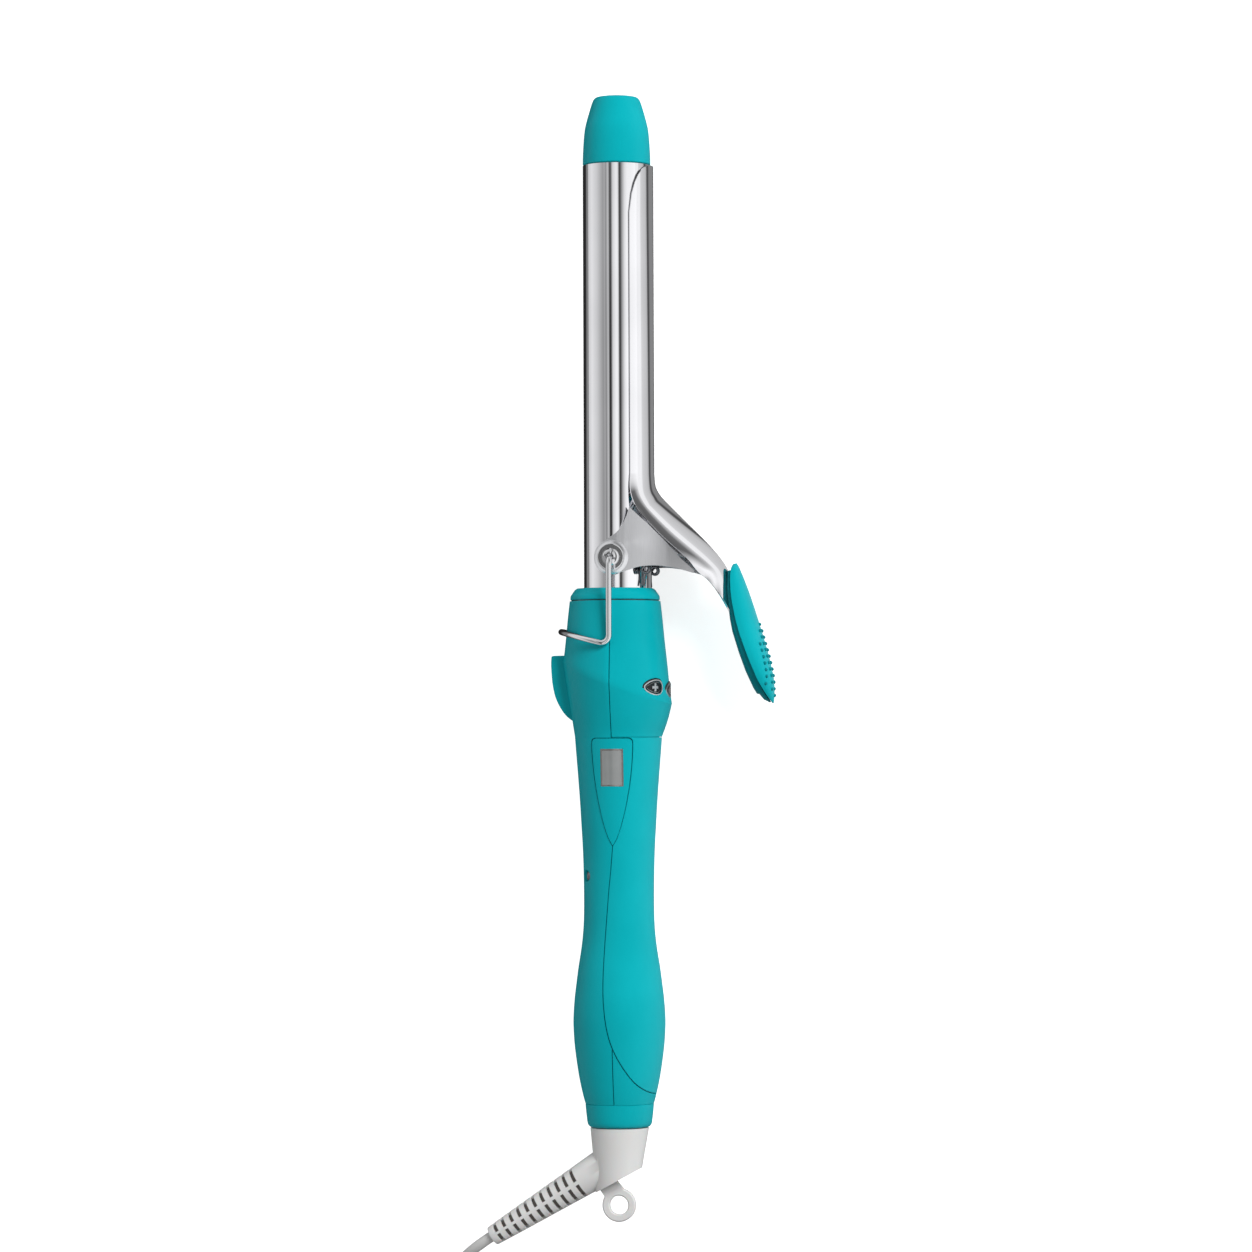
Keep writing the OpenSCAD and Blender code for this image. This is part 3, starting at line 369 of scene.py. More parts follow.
# The pad's lower half and its dots are the same moulded teal, darkened as painted shade where they face away from the
# light
SHADED_TEAL = moulded("moulded ABS, teal darkened as painted shade", "#007E87", "#04848D", 0.45, 0.5, 0.012, Specular_IOR_Level=0.14)
# Soft PVC is a little waxy: light goes in and comes out nearby
WHITE_PVC = moulded("soft PVC, white", "#DDDDDC", "#E2E2E1", 0.42, 1.2, 0.01,
                    Subsurface_Weight=0.08, Subsurface_Scale=0.002)
CORD_PVC = moulded("extruded PVC, grey white", "#CDCDCC", "#D3D3D2", 0.45, 1.5, 0.01)
PHENOLIC = moulded("moulded phenolic, black", "#26272A", "#2E2F32", 0.5, 0.7, 0.015)
# A dark PVC core that stands for painted shadow inside the boot's slots
PAINTED_SHADOW_PVC = moulded("painted shadow inside the slots, dark PVC", "#56504D", "#605A56", 0.6, 1.2, 0.01)
TRIM_BLACK = moulded("polished ABS, black", "#141517", "#1A1B1D", 0.2, 1.0, 0.003)
CERAMIC = moulded("fired alumina, cream", "#E7E0D2", "#EFE9DC", 0.6, 0.8, 0.02)
SILICONE_RED = moulded("silicone sleeve, red brown", "#8E3226", "#98382A", 0.55, 1.0, 0.01)
BRASS = plated("turned brass", "#C79F45", "#CFA94F", 0.24)
# Chrome over nickel on a polished tube: nearly a mirror
CHROME_BARREL = plated("chrome plate on polished steel tube", "#EDEDF0", "#F2F2F5", 0.03)
CHROME_CLIP = plated("chrome plate on pressed steel", "#EDEDF0", "#F2F2F5", 0.05)
CHROME_ABS = plated("chromed ABS buttons, satin", "#E8E8EA", "#F0F0F2", 0.3)
PLATED_WIRE = plated("nickel plate on drawn wire", "#DDDEE0", "#E4E5E7", 0.08)
SATIN_STEEL = brushed("brushed stainless sheet", "#E0E1E4", "#E6E7EA", 0.3, 0.3)
SPRING_STEEL = brushed("oiled spring steel", "#74777C", "#83868B", 0.35, 0.4)
ALUMINIUM = brushed("extruded aluminium", "#BFC1C3", "#CBCDCF", 0.4, 0.5)

BOARD = solder_mask("glass-epoxy board, green mask", "#155530", "#1B6037")
GREY_ACRYLIC = tinted_acrylic("tinted acrylic, grey", "#8B8E8E", "#949797")
CHROME_EDGE = plated("vacuum metal edge, rose grey", "#A39895", "#ADA29F", 0.3)

# ---------- the inner parts, which keep their solids ----------
INNER = {
    CERAMIC: ("tip_insulator", "heater_plate"),
    ALUMINIUM: ("heater_carrier_front", "heater_carrier_back", "thermal_fuse"),
    PHENOLIC: ("barrel_base", "swivel_socket", "display_module", "tact_switches"),
    BOARD: ("main_board", "control_board"),
    BRASS: ("slip_rings", "brush_contacts", "thermistor", "plug_blades"),
    SILICONE_RED: ("mains_leads", "heater_leads"),
    PLATED_WIRE: ("shell_screws", "pad_screws"),
    WHITE_PVC: ("swivel_spindle",),
}
for finish, names in INNER.items():
    for name in names:
        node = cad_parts[name]
        node.data.materials.clear()
        node.data.materials.append(finish)

# ---------- cord, its coil and its plug ----------
CORD_D, CORD_R = 4.0, 2.0
CORD_ROUTE = [(-45.5, -205, 45.5), (-50.5, -208, 47), (-56.5, -212, 47.5), (-62, -216, 46), (-67.5, -220.5, 43),
              (-73, -225.5, 38.5), (-78, -230.5, 33), (-83, -236, 27), (-88, -241.5, 21), (-92.5, -246.5, 15.5),
              (-96.5, -251.5, 10.2), (-101, -258, 6), (-104.9, -264.5, 3.4), (-107.4, -272, 2.2), (-107.8, -280, 2)]
COIL_AT, COIL_START = (-79.5, -282.0), 200.0
TURN_RADII = (26.0, 22.0, 18.0)
COIL_LAYERS, COIL_STEP, SHIFT_OVER = 4, 10, 50.0
PLUG_AT, PLUG_TURN = (-49.5, -278.0, 6.0), -25.0


def coil_point(angle, radius, height):
    """A point by its turn and radius about the coil's middle."""
    a = math.radians(angle)
    return Vector((COIL_AT[0] + radius * math.cos(a), COIL_AT[1] + radius * math.sin(a), height))


def coil_line():
    """Turns side by side in layers; each one moves on to the next just before it closes."""
    seats = []
    for layer in range(COIL_LAYERS):
        radii = TURN_RADII if layer % 2 == 0 else TURN_RADII[::-1]
        seats += [(r, CORD_R + CORD_D * layer) for r in radii]
    line = []
    last_turn = len(seats) - 1
    for turn, (radius, height) in enumerate(seats):
        after = seats[min(turn + 1, last_turn)]
        stop = 360 if turn < last_turn else 100
        for step in range(0, stop, COIL_STEP):
            t = eased(max(0.0, (step - (360 - SHIFT_OVER)) / SHIFT_OVER))
            line.append(coil_point(COIL_START + step, mix(radius, after[0], t), mix(height, after[1], t)))
    return line


def lay_cord():
    plug = Vector(PLUG_AT)
    way_out = [coil_point(320, 27.6, 13.6), coil_point(336, 30.2, 11.6), coil_point(351, 31.2, 8.6),
               coil_point(361, 30.9, 6.6), plug + Vector((0.4, 1.0, 0)), plug + Vector((2.2, 5.0, 0))]
    route = smooth_line(CORD_ROUTE, 3)[:-1] + coil_line()
    cord = curve_piece("mains_cord", route + smooth_line(way_out, 3), CORD_R, ROW, sides=3)
    settle(cord, CORD_PVC, "swivel", "cord_pvc", "cord_tail", "cord_coil")
    return cord


cord = lay_cord()

# ---------- plug and tie ----------
PLUG_PLACE = ROW @ turned(*PLUG_AT, PLUG_TURN)
# Stations along the plug: place, half width, half height, squareness
PLUG_STATIONS = [(0, 2.9, 2.9, 2), (0.6, 3.2, 3.2, 2), (11.4, 4.3, 4.3, 2), (12.4, 5.6, 4.2, 2.4), (15, 7.4, 4.7, 3),
                 (20, 9.9, 5.7, 3.6), (26, 10.8, 6, 4), (34, 11, 6, 4), (37.2, 10.8, 5.8, 4), (38, 10.2, 5.2, 4)]
PLUG_POINTS = 40
RELIEF_AT, RELIEF_HALF, RELIEF_CORE = (3.2, 6.0, 8.8), 0.6, 1.2


def plug_ring(y, half_w, half_h, power):
    """A ring of points between an ellipse and a rectangle."""
    ring = []
    for k in range(PLUG_POINTS):
        a = math.tau * (k + 0.5) / PLUG_POINTS
        c, s = math.cos(a), math.sin(a)
        ring.append((half_w * math.copysign(abs(c) ** (2 / power), c), y,
                     half_h * math.copysign(abs(s) ** (2 / power), s)))
    return ring


def make_plug():
    body = to_piece("plug_moulding", loft([plug_ring(*station) for station in PLUG_STATIONS]), PLUG_PLACE)
    deep = 20.0
    slots = [to_piece("relief", slab(oblong(8, RELIEF_HALF), deep, turned(0, y, z)), PLUG_PLACE)
             for y in RELIEF_AT for z in (RELIEF_CORE, -RELIEF_CORE - deep)]
    carve(body, *slots)
    soften(shade(body, 40), 0.35, 2, 40)
    settle(body, WHITE_PVC, "swivel", "white_pvc", "plug_body")
    return body


TIE_TURN, TIE_W, TIE_T = 250.0, 5.0, 0.8
TIE_INNER, TIE_OUTER, TIE_TOP = 15.7, 28.3, 16.1


def make_tie():
    """A soft strap over the turns, open underneath."""
    inner, outer, top = TIE_INNER, TIE_OUTER, TIE_TOP
    line = [(inner, 0), (inner, top - 2), (inner + 0.6, top - 0.6), (inner + 2, top), (outer - 2, top),
            (outer - 0.6, top - 0.6), (outer, top - 2), (outer, 0)]
    middle = (inner + outer) / 2
    back = [(r + math.copysign(TIE_T, r - middle), z + (TIE_T if z > 1 else 0)) for r, z in reversed(line)]
    place = ROW @ turned(*COIL_AT, 0, TIE_TURN) @ turned(0, TIE_W / 2, 0, 90, "X")
    tie = to_piece("cord_strap", slab(line + back, TIE_W), place)
    soften(shade(tie), 0.25)
    settle(tie, WHITE_PVC, "swivel", "white_pvc", "cord_tie")
    return tie


plug, tie = make_plug(), make_tie()

# ---------- swivel boot and hanging ring ----------
ELBOW_Z, ARM_DROP, ARM_LEN = -11.0, 32.0, 56.6
ARM_ROOT_R, ARM_END_R = 7.0, 3.7
SLOTS, SLOT_PITCH, SLOT_W, SLOT_FIRST = 11, 3.5, 1.5, 18.2
SOCKET = [(0, -0.3), (10.6, -0.3), (10.8, -0.5), (10.2, -5), (9.6, -9.4), (8.95, -14.5), (7.9, -24), (0, -24)]
# The socket leans towards the arm
SOCKET_LEAN = Matrix(((1, 0, 0.045, 0), (0, 1, 0, 0), (0, 0, 1, 0), (0, 0, 0, 1)))
ARM_PLACE = turned(0, 0, ELBOW_Z, -90 - ARM_DROP, "Y")
CUT_TILT, CUT_AT = 28.5, (8.3, -15.0)
SLOT_DEPTH, SLOT_ARC = 1.3, 38


def arm_r(t):
    """The arm's radius at a place along it."""
    return mix(ARM_ROOT_R, ARM_END_R, t / ARM_LEN)


def arm_window(place_t, turn):
    """One slot of the strain relief: a curved window between two webs."""
    r = arm_r(place_t)
    outline = band(r - SLOT_DEPTH, r + 1.5, -SLOT_ARC, SLOT_ARC, 4)
    return slab(outline, SLOT_W, ARM_PLACE @ turned(0, 0, place_t - SLOT_W / 2, turn))


def make_boot():
    socket = to_piece("boot_socket", spun(SOCKET, SOCKET_LEAN))
    under = turned(CUT_AT[0], 0, CUT_AT[1], -CUT_TILT, "Y") @ turned(-20, 0, -60)
    carve(socket, to_piece("under", slab(oblong(60, 30), 60, under)))
    arm_profile = [(0, -4), (ARM_ROOT_R - 0.6, -4), (arm_r(0), 0), (arm_r(13), 13)]
    arm_profile += [(arm_r(t), t) for t in (20, 30, 40, 50)]
    arm_profile += [(ARM_END_R, ARM_LEN - 0.9), (ARM_END_R - 0.25, ARM_LEN - 0.25), (ARM_END_R - 0.9, ARM_LEN),
                    (0, ARM_LEN)]
    arm = to_piece("arm", spun(arm_profile, ARM_PLACE, 64))
    carve(socket, arm, operation="UNION")
    windows = bmesh.new()
    for i in range(SLOTS):
        for turn in (45, 135, 225, 315):
            merged(windows, arm_window(SLOT_FIRST + i * SLOT_PITCH, turn))
    carve(socket, to_piece("windows", windows))
    socket.name = "boot"
    settle(soften(shade(socket, 40), 0.2, 2, 50), WHITE_PVC, "swivel", "white_pvc", "cord_boot")
    # A dark core under the windows: painted shadow inside the slots
    inside = [(0, 12), (arm_r(12) - SLOT_DEPTH + 0.2, 12), (arm_r(54) - SLOT_DEPTH + 0.2, 54), (0, 54)]
    settle(shade(to_piece("boot_painted_shadow", spun(inside, ARM_PLACE, 48))), PAINTED_SHADOW_PVC, "swivel", "white_pvc")


make_boot()
RING_AT, RING_R, RING_HOLE, RING_T = (-0.3, 0, -28.8), 6.2, 3.4, 2.7
RING_NECK = [(-7.1, -23.5), (-6.0, -21), (-1.9, -19), (1.4, -22.9), (-0.3, -24.6), (-5.2, -26.4)]


def make_hanging_ring():
    lip = 0.5
    section = [(RING_HOLE, -RING_T / 2 + lip), (RING_HOLE + lip, -RING_T / 2), (RING_R - lip, -RING_T / 2),
               (RING_R, -RING_T / 2 + lip), (RING_R, RING_T / 2 - lip), (RING_R - lip, RING_T / 2),
               (RING_HOLE + lip, RING_T / 2), (RING_HOLE, RING_T / 2 - lip), (RING_HOLE, -RING_T / 2 + lip)]
    ring = to_piece("hanging_ring", spun(section, turned(*RING_AT) @ turned(degrees=90, axis="X"), 64))
    carve(ring, to_piece("neck", slab(RING_NECK, RING_T, turned(0, RING_T / 2, 0, 90, "X"))), operation="UNION")
    soften(shade(ring), 0.4, 3, 50)
    settle(ring, WHITE_PVC, "swivel", "white_pvc", "hang_loop")


make_hanging_ring()

# ---------- barrel, tip cap and collar ----------


def spun_piece(name, profile, finish, slot, *nodes, steps=96):
    """A round piece about the barrel's axis."""
    piece = shade(to_piece(name, spun(profile, steps=steps)), 30)
    return settle(piece, finish, "root", slot, *nodes)


CAP_SIDE = smooth_line([(12.5, TIP_Z + 0.35), (12.42, 358), (12.1, 363.6), (11.6, 368), (10.8, 371.3), (10.1, 373.8),
                        (9.2, 376.8), (8.6, 378.2), (8.0, 379.0), (7.1, 379.36), (5.5, END_Z)], 3)
CAP_PROFILE = [(0, 348), (11.2, 348), (11.2, TIP_Z + 0.05), (12.3, TIP_Z + 0.05), *CAP_SIDE, (0, END_Z)]
SLEEVE_PROFILE = [(11.3, 176), (BARREL_R, 176), (BARREL_R, TIP_Z - 0.3), (BARREL_R - 0.25, TIP_Z - 0.05),
                  (11.3, TIP_Z - 0.05), (11.3, 176)]
spun_piece("tip_cap_moulding", CAP_PROFILE, TEAL_ABS, "teal_plastic", "tip_cap")
spun_piece("barrel_sleeve", SLEEVE_PROFILE, CHROME_BARREL, "chrome_barrel", "barrel_tube", steps=160)
# The head leans a little to the heel's side of the barrel's axis, from a place up and over a length
HEAD_SHIFT, LEAN_FROM, LEAN_OVER = -1.1, HEAD_Z + 3, 18.0


def head_shift(z):
    return HEAD_SHIFT * eased(min(1.0, max(0.0, (z - LEAN_FROM) / LEAN_OVER)))


def make_collar():
    inner = BARREL_R + 0.1
    ring = spun([(inner, 193.45), (16.2, 193.45), (16.5, 193.7), (16.45, 194.8), (16.2, 195.3), (14.9, 197.2),
                 (14.5, 197.5), (14.1, BARREL_Z), (inner, BARREL_Z), (inner, 193.45)])
    # A black ring in the gap under the collar: painted shadow in the gap
    gap_shadow = spun([(inner, 193), (16.1, 193), (16.1, 193.5), (inner, 193.5), (inner, 193)])
    for bm in (ring, gap_shadow):
        for v in bm.verts:
            if math.hypot(v.co.x, v.co.y) > BARREL_R + 1:
                v.co.x += HEAD_SHIFT
    settle(shade(to_piece("collar_ring", ring), 30), TEAL_ABS, "root", "teal_plastic", "collar")
    settle(shade(to_piece("collar_gap_shadow", gap_shadow)), TRIM_BLACK, "root", "trim_dark")


make_collar()
spun_piece("end_ring", [(0, 0), (10.6, 0), (11.2, 0.25), (11.7, 0.9), (11.95, 2), (12.3, 5), (12.62, 8.3), (12.3, 8.6),
                        (0, 8.6)], TEAL_ABS, "teal_plastic", "end_collar")

# ---------- handle ----------
# Both sides as (place, radius)
GRIP_SIDE = smooth_line([
    (8.6, 12.62), (11.4, 13.4), (17.3, 14.7), (23.2, 15.65), (29, 16.4), (34, 16.8), (39.5, 16.95), (46.7, 16.5),
    (52.6, 15.8), (58.4, 15.05), (64.3, 14.1), (70, 13.4), (76, 13.0), (84, 12.9), (93.7, 13.02), (102.6, 13.3),
    (111.4, 13.8), (120, 14.3), (129, 14.95), (137.8, 15.65), (HEAD_Z, 16.05)], 3)
HEAD_SIDE = smooth_line([(150, 20.4), (155, 20.3), (160.6, 20.0), (168, 19.4), (175.3, 18.6), (181, 18.0), (186.4, 17.5),
                         (193.1, 16.75)], 3)
CREASE_Z, CREASE_SLOPE = 163.3, math.tan(math.radians(21.5))
RING_TURNS = [math.tau * k / 96 for k in range(96)]
# The gap at the parting lines, how deep the core lies under it, and how full the head's lower faces are
SEAM, CORE_DEPTH, FULLNESS = 0.34, 0.9, 0.35
# The ridge at the head's parting line: its share of the radius, how far round it reaches, how much of it ends at the top
KEEL, KEEL_REACH, KEEL_END = 0.055, 0.3, 0.4
HEAD_RINGS = 12


def head_radius(z):
    for (z0, r0), (z1, r1) in zip(HEAD_SIDE, HEAD_SIDE[1:]):
        if z <= z1:
            return mix(r0, r1, (z - z0) / (z1 - z0))
    return HEAD_SIDE[-1][1]


def round_ring(radius, z):
    """A level ring, moved over as the head leans."""
    return [(radius * math.cos(a) + head_shift(z), radius * math.sin(a), z) for a in RING_TURNS]


def head_point(a, z, inset, share):
    """A point on the head, which rises a little to the parting line, in front and at the back."""
    keel = 1 + KEEL * share * math.exp(-abs(math.asin(math.cos(a))) / KEEL_REACH)
    r = (head_radius(z) - inset) * keel
    return Vector((r * math.cos(a) + head_shift(z), r * math.sin(a), z))


def crease_ring(inset):
    """The oblique crease round the head, higher on the heel's side."""
    ring = []
    for a in RING_TURNS:
        z = CREASE_Z
        for _ in range(8):
            z = CREASE_Z - CREASE_SLOPE * (head_radius(z) - inset) * math.cos(a)
        ring.append(head_point(a, z, inset, 1.0))
    return ring


def handle_form(name, inset=0.0):
    """The whole handle from the end collar up to the collar ring."""
    rings = [round_ring(r - inset, z) for z, r in GRIP_SIDE]
    base, crease = [Vector(p) for p in rings[-1]], crease_ring(inset)
    for t in (0.2, 0.4, 0.6, 0.8, 0.93):
        ring = []
        for low, high in zip(base, crease):
            p = mix(low, high, t)
            bulge = FULLNESS * math.sin(math.pi * t) * (0.55 + 0.45 * high.x / 20)
            ring.append(p + Vector((p.x, p.y, 0)).normalized() * bulge)
        rings.append(ring)
    rings.append(crease)
    top = HEAD_SIDE[-1][0]
    for i in range(1, HEAD_RINGS + 1):
        t = i / HEAD_RINGS
        rings.append([head_point(a, mix(p.z, top, t), inset, mix(1, KEEL_END, t)) for a, p in zip(RING_TURNS, crease)])
    return to_piece(name, loft(rings))


def sharpen_crease(piece):
    """Marks the edges that lie in the crease's plane as sharp."""
    from_row = IRON.inverted()
    for edge in piece.data.edges:
        ends = [from_row @ piece.data.vertices[i].co for i in edge.vertices]
        if all(abs(p.z + CREASE_SLOPE * (p.x - head_shift(p.z)) - CREASE_Z) < 0.02 for p in ends):
            edge.use_edge_sharp = True
    return piece


# The panel's edge as seen from the display's side, from the bezel's point down and round
PANEL_EDGE = smooth_line([(0, 104), (-1.0, 93), (-1.9, 83.8), (-3.2, 64.8), (-3.3, 46.8), (-0.8, 31.8), (5.2, 20),
                          (11, 13.8), (19, 10.0)], 5)


def front_prism(outline, depth=80.0, y=40.0):
    """A cutter whose outline is seen from the display's side."""
    return to_piece("cutter", slab(outline, depth, turned(0, y, 0, 90, "X")))


def front_half(outline):
    """The same, but no deeper than the iron's middle."""
    return front_prism(outline, 40, 0)


def panel_prism(shift):
    edge = [(p.x + shift, p.y + shift) for p in PANEL_EDGE]
    top = HEAD_Z - 0.15 - shift / 2
    return front_prism([(shift, top)] + edge + [(30, 10 + shift), (30, top)])


BEZEL_W, BEZEL_TOP, BEZEL_LEN, BEZEL_CORNER, BEZEL_GAP = 15.0, 142.6, 39.2, 1.6, 0.27
BEZEL_POWERS, BEZEL_STEPS, SHOULDER_TURNS = (1.7, 0.75), 16, (0, 0.26, 0.52, 0.79, 1.05, 1.31)
WINDOW_HALF_W, WINDOW_HALF_H, WINDOW_Z, WINDOW_LIP = 4.0, 6.6, 131.9, 0.25
# How far each piece of the display stands out from the grip
BEZEL_RISE, EDGE_RISE, PANE_RISE = 0.3, 0.16, 0.05


def bezel_outline(grow):
    """Round shoulders, then sides that close to a point."""
    half, corner, top = BEZEL_W / 2 + grow, BEZEL_CORNER, BEZEL_TOP + grow
    side = [(half - corner * (1 - math.sin(a)), top - corner * (1 - math.cos(a))) for a in SHOULDER_TURNS]
    bow, close = BEZEL_POWERS
    for i in range(BEZEL_STEPS + 1):
        t = i / BEZEL_STEPS
        side.append((half * (1 - t ** bow) ** close, top - corner - (BEZEL_LEN + 2 * grow - corner) * t))
    return side + [(-x, z) for x, z in reversed(side[:-1])]


def window_outline(grow):
    return oblong(WINDOW_HALF_W + grow, WINDOW_HALF_H + grow, 0, WINDOW_Z)


def half_space(side):
    """All that lies on one side of the parting line."""
    return front_prism(oblong(30, 107.5, side * (30 + SEAM / 2), 102.5))


HEEL = smooth_line([(-15, 148), (-19.2, 151.2), (-22.4, 156.4), (-23.9, 161.8), (-24.5, 168.2), (-24.45, 172.2),
                    (-23.9, 173.0), (-21, 173.15), (-14, 173.2)], 4)
HEEL_W = 7.0
SCREW_AT, RECESS_R, RECESS_DEPTH = (-9.2, -7.0, 92.2), 2.2, 12.0
SCREW_TURNS = Matrix.Rotation(math.radians(-90), 4, "Y")


def screw_recess():
    x, y, z = SCREW_AT
    hole = [(0, 0), (RECESS_R, 0), (RECESS_R, RECESS_DEPTH), (0, RECESS_DEPTH)]
    return to_piece("recess", spun(hole, turned(x + 2, y, z) @ SCREW_TURNS, 32))


BUTTON_TURNS, BUTTON_Z, BUTTON_R = (-35.0, 0.0, 35.0), (161.2, 160.2, 159.2), 20.0
BUTTON_SHIFT = HEAD_SHIFT * 0.9
# Tops from the head's axis, and thicknesses
RIM_TOP, CAP_TOP, FACE_TOP, BED_TOP = 20.42, 20.27, 20.34, 20.07
RIM_T, CAP_T, FACE_T, BED_T, MARK_T = 2.0, 0.9, 0.2, 1.0, 0.2
# Half of a button's rim, from the point at the display's side: along the head's round, and up
RIM_LINE = [(-5.2, 0), (-4.85, 0.85), (-3.7, 1.7), (-1.8, 2.5), (0.4, 2.88), (2.4, 2.7), (3.85, 1.7), (4.4, 0)]
MARK_W, MARK_LEN, MARK_R = 0.9, 3.0, 1.1
RIM_W, CAP_INSET, FACE_INSET, BED_OUTSET = 0.45, 0.95, 1.05, 0.5
WELL_TOP, WELL_DEPTH = 23.5, 8.0


def rim_outline(grow):
    """The rim's rounded shield, moved out by grow; it runs against the clock."""
    line = [(u, -v) for u, v in RIM_LINE[:-1]] + [(u, v) for u, v in reversed(RIM_LINE[1:])]
    line = smooth_line(line + line[:3], 3)[3:-6]
    made = []
    for before, at, after in zip(line[-1:] + line[:-1], line, line[1:] + line[:1]):
        way = (after - before).normalized()
        made.append((at.x + way.y * grow, at.y - way.x * grow))
    return made


def on_head(bm, i):
    """Bends a drawing round the head: its X runs round, its Y up and its Z out from the axis."""
    for v in bm.verts:
        a = math.radians(BUTTON_TURNS[i]) + v.co.x / BUTTON_R
        v.co = (v.co.z * math.cos(a) + BUTTON_SHIFT, v.co.z * math.sin(a), BUTTON_Z[i] + v.co.y)
    return bm


def key_plate(grow, top, height):
    """A flat plate in the rim's outline, moved out by grow."""
    return slab(rim_outline(grow), height, turned(z=top - height))


def ring_plate(grow, top, height):
    """The same with the cap's opening through it."""
    plate = to_piece("plate", key_plate(grow, top, height), Matrix())
    carve(plate, to_piece("opening", key_plate(-RIM_W, top + 1, height + 2), Matrix()))
    bm = bmesh.new()
    bm.from_mesh(plate.data)
    bpy.data.objects.remove(plate)
    return bm


def button_wells():
    """What is cut out of the head for the three caps to travel in."""
    bm = bmesh.new()
    for i in range(len(BUTTON_TURNS)):
        merged(bm, on_head(key_plate(-RIM_W, WELL_TOP, WELL_DEPTH), i))
    return to_piece("wells", bm)


def make_handle():
    left = carve(handle_form("handle_left"), half_space(-1), operation="INTERSECT")
    heel = to_piece("heel", slab(HEEL, HEEL_W, turned(0, HEEL_W / 2, 0, 90, "X")))
    bake(soften(heel, 0.7, 3, 40))
    carve(left, heel, operation="UNION")
    carve(left, panel_prism(-SEAM / 2), front_half(bezel_outline(BEZEL_GAP)), screw_recess())
    right = carve(handle_form("handle_right"), half_space(1), operation="INTERSECT")
    carve(right, panel_prism(-SEAM / 2), front_half(bezel_outline(BEZEL_GAP)), button_wells())
    core = carve(handle_form("handle_core", CORE_DEPTH), screw_recess(), button_wells())
    settle(shade(core, 30), TEAL_ABS, "root", "teal_plastic")
    settle(sharpen_crease(shade(left, 22)), TEAL_ABS, "root", "teal_plastic", "handle_shell_left")
    settle(sharpen_crease(shade(right, 22)), TEAL_ABS, "root", "teal_plastic", "handle_shell_right")


def grip_skin(name, outset, cutter):
    """What lies inside a cutter of a grip that is fuller by outset."""
    grip = to_piece(name, loft([round_ring(r + outset, z) for z, r in GRIP_SIDE]))
    return carve(grip, cutter, operation="INTERSECT")


def make_panel():
    panel = carve(grip_skin("grip_panel_cover", 0.0, panel_prism(SEAM / 2)), front_half(bezel_outline(BEZEL_GAP)))
    settle(shade(panel, 30), SOFT_TEAL, "root", "teal_soft", "grip_panel")


def make_display():
    bezel = grip_skin("display_bezel_moulding", BEZEL_RISE, front_half(bezel_outline(-0.05)))
    carve(bezel, front_half(window_outline(WINDOW_LIP)))
    settle(soften(shade(bezel, 30), 0.2, 2, 60), TEAL_ABS, "root", "teal_plastic", "display_bezel")
    edge = grip_skin("display_edge", EDGE_RISE, front_half(window_outline(WINDOW_LIP)))
    carve(edge, front_half(window_outline(-WINDOW_LIP)))
    settle(shade(edge, 30), CHROME_EDGE, "root", "display_glass")
    pane = grip_skin("display_pane", PANE_RISE, front_half(window_outline(-0.2)))
    settle(shade(pane, 30), GREY_ACRYLIC, "root", "display_glass", "display_window")


make_handle()
make_panel()
make_display()

# ---------- buttons ----------


def mark_drawing(i):
    """Plus, power or minus, as raised bars and a broken circle."""
    bm = bmesh.new()
    half, place = MARK_W / 2, turned(z=RIM_TOP - MARK_T)
    level, upright, stem = oblong(MARK_LEN / 2, half), oblong(half, MARK_LEN / 2), oblong(0.7, half, MARK_R)
    ring = band(MARK_R - half, MARK_R + half, 40, 320, 14)
    for outline in ((level, upright), (stem, ring), (level,))[i]:
        merged(bm, slab(outline, MARK_T, place))
    return bm


def make_buttons():
    rims, beds = bmesh.new(), bmesh.new()
    for i, name in enumerate(("plus", "power", "minus")):
        merged(rims, on_head(ring_plate(0.0, RIM_TOP, RIM_T), i))
        merged(beds, on_head(ring_plate(BED_OUTSET, BED_TOP, BED_T), i))
        body = name + "_key"
        cap = to_piece(name + "_cap", on_head(key_plate(-CAP_INSET, CAP_TOP, CAP_T), i))
        settle(soften(shade(cap), 0.1, 2, 50), CHROME_ABS, body, "button_chrome", "button_" + name)
        face = to_piece(name + "_face", on_head(key_plate(-FACE_INSET, FACE_TOP, FACE_T), i))
        settle(shade(face), TRIM_BLACK, body, "trim_dark")
        settle(shade(to_piece(name + "_mark", on_head(mark_drawing(i), i))), CHROME_ABS, body, "button_chrome")
    rims = soften(shade(to_piece("button_rims", rims)), 0.12, 2, 50)
    settle(rims, CHROME_ABS, "root", "button_chrome", "button_trims")
    settle(shade(to_piece("button_beds", beds)), TRIM_BLACK, "root", "trim_dark")


make_buttons()

# ---------- pivot, bracket and springs ----------
SIDES = (1, -1)
EAR_Y, SHEET_T, BOSS_TOP, EAR_R, EAR_CURVE, WEB_HALF = 13.4, 1.2, 2.4, 6.3, 0.006, 9.8
WASHER_Y, WASHER_T, SCREW_TOP = 15.84, 0.6, 2.3
PIVOT = turned(z=PIVOT_Z)


def ear_outline():
    """An ear about the pivot: round it, under the lever, up the lever's edge and back down."""
    turn = [(EAR_R * math.cos(math.radians(a)), EAR_R * math.sin(math.radians(a))) for a in range(124, 257, 6)]
    lower = smooth_line([(0.5, -6.2), (4.3, -5.3), (10.6, -3.5), (17, -3.2), (23.4, -4.1)], 5)
    crease = [(29.4, -5.9), (30.0, -4.9), (25.4, -0.8), (20.4, 5.0), (13.4, 12.2), (9.6, 15.6)]
    upper = smooth_line([(6.6, 18.4), (5.4, 14.6), (2.6, 9.8), (-1, 7), (-2.6, 5.9)], 5)
    return turn + lower + crease + upper


def side_place(side, y):
    """A drawing's Z looks out from the barrel along +Y or -Y at the pivot."""
    mirror = Matrix.Scale(side, 4, (0, 1, 0))
    return PIVOT @ mirror @ turned(0, y, 0, -90, "X")


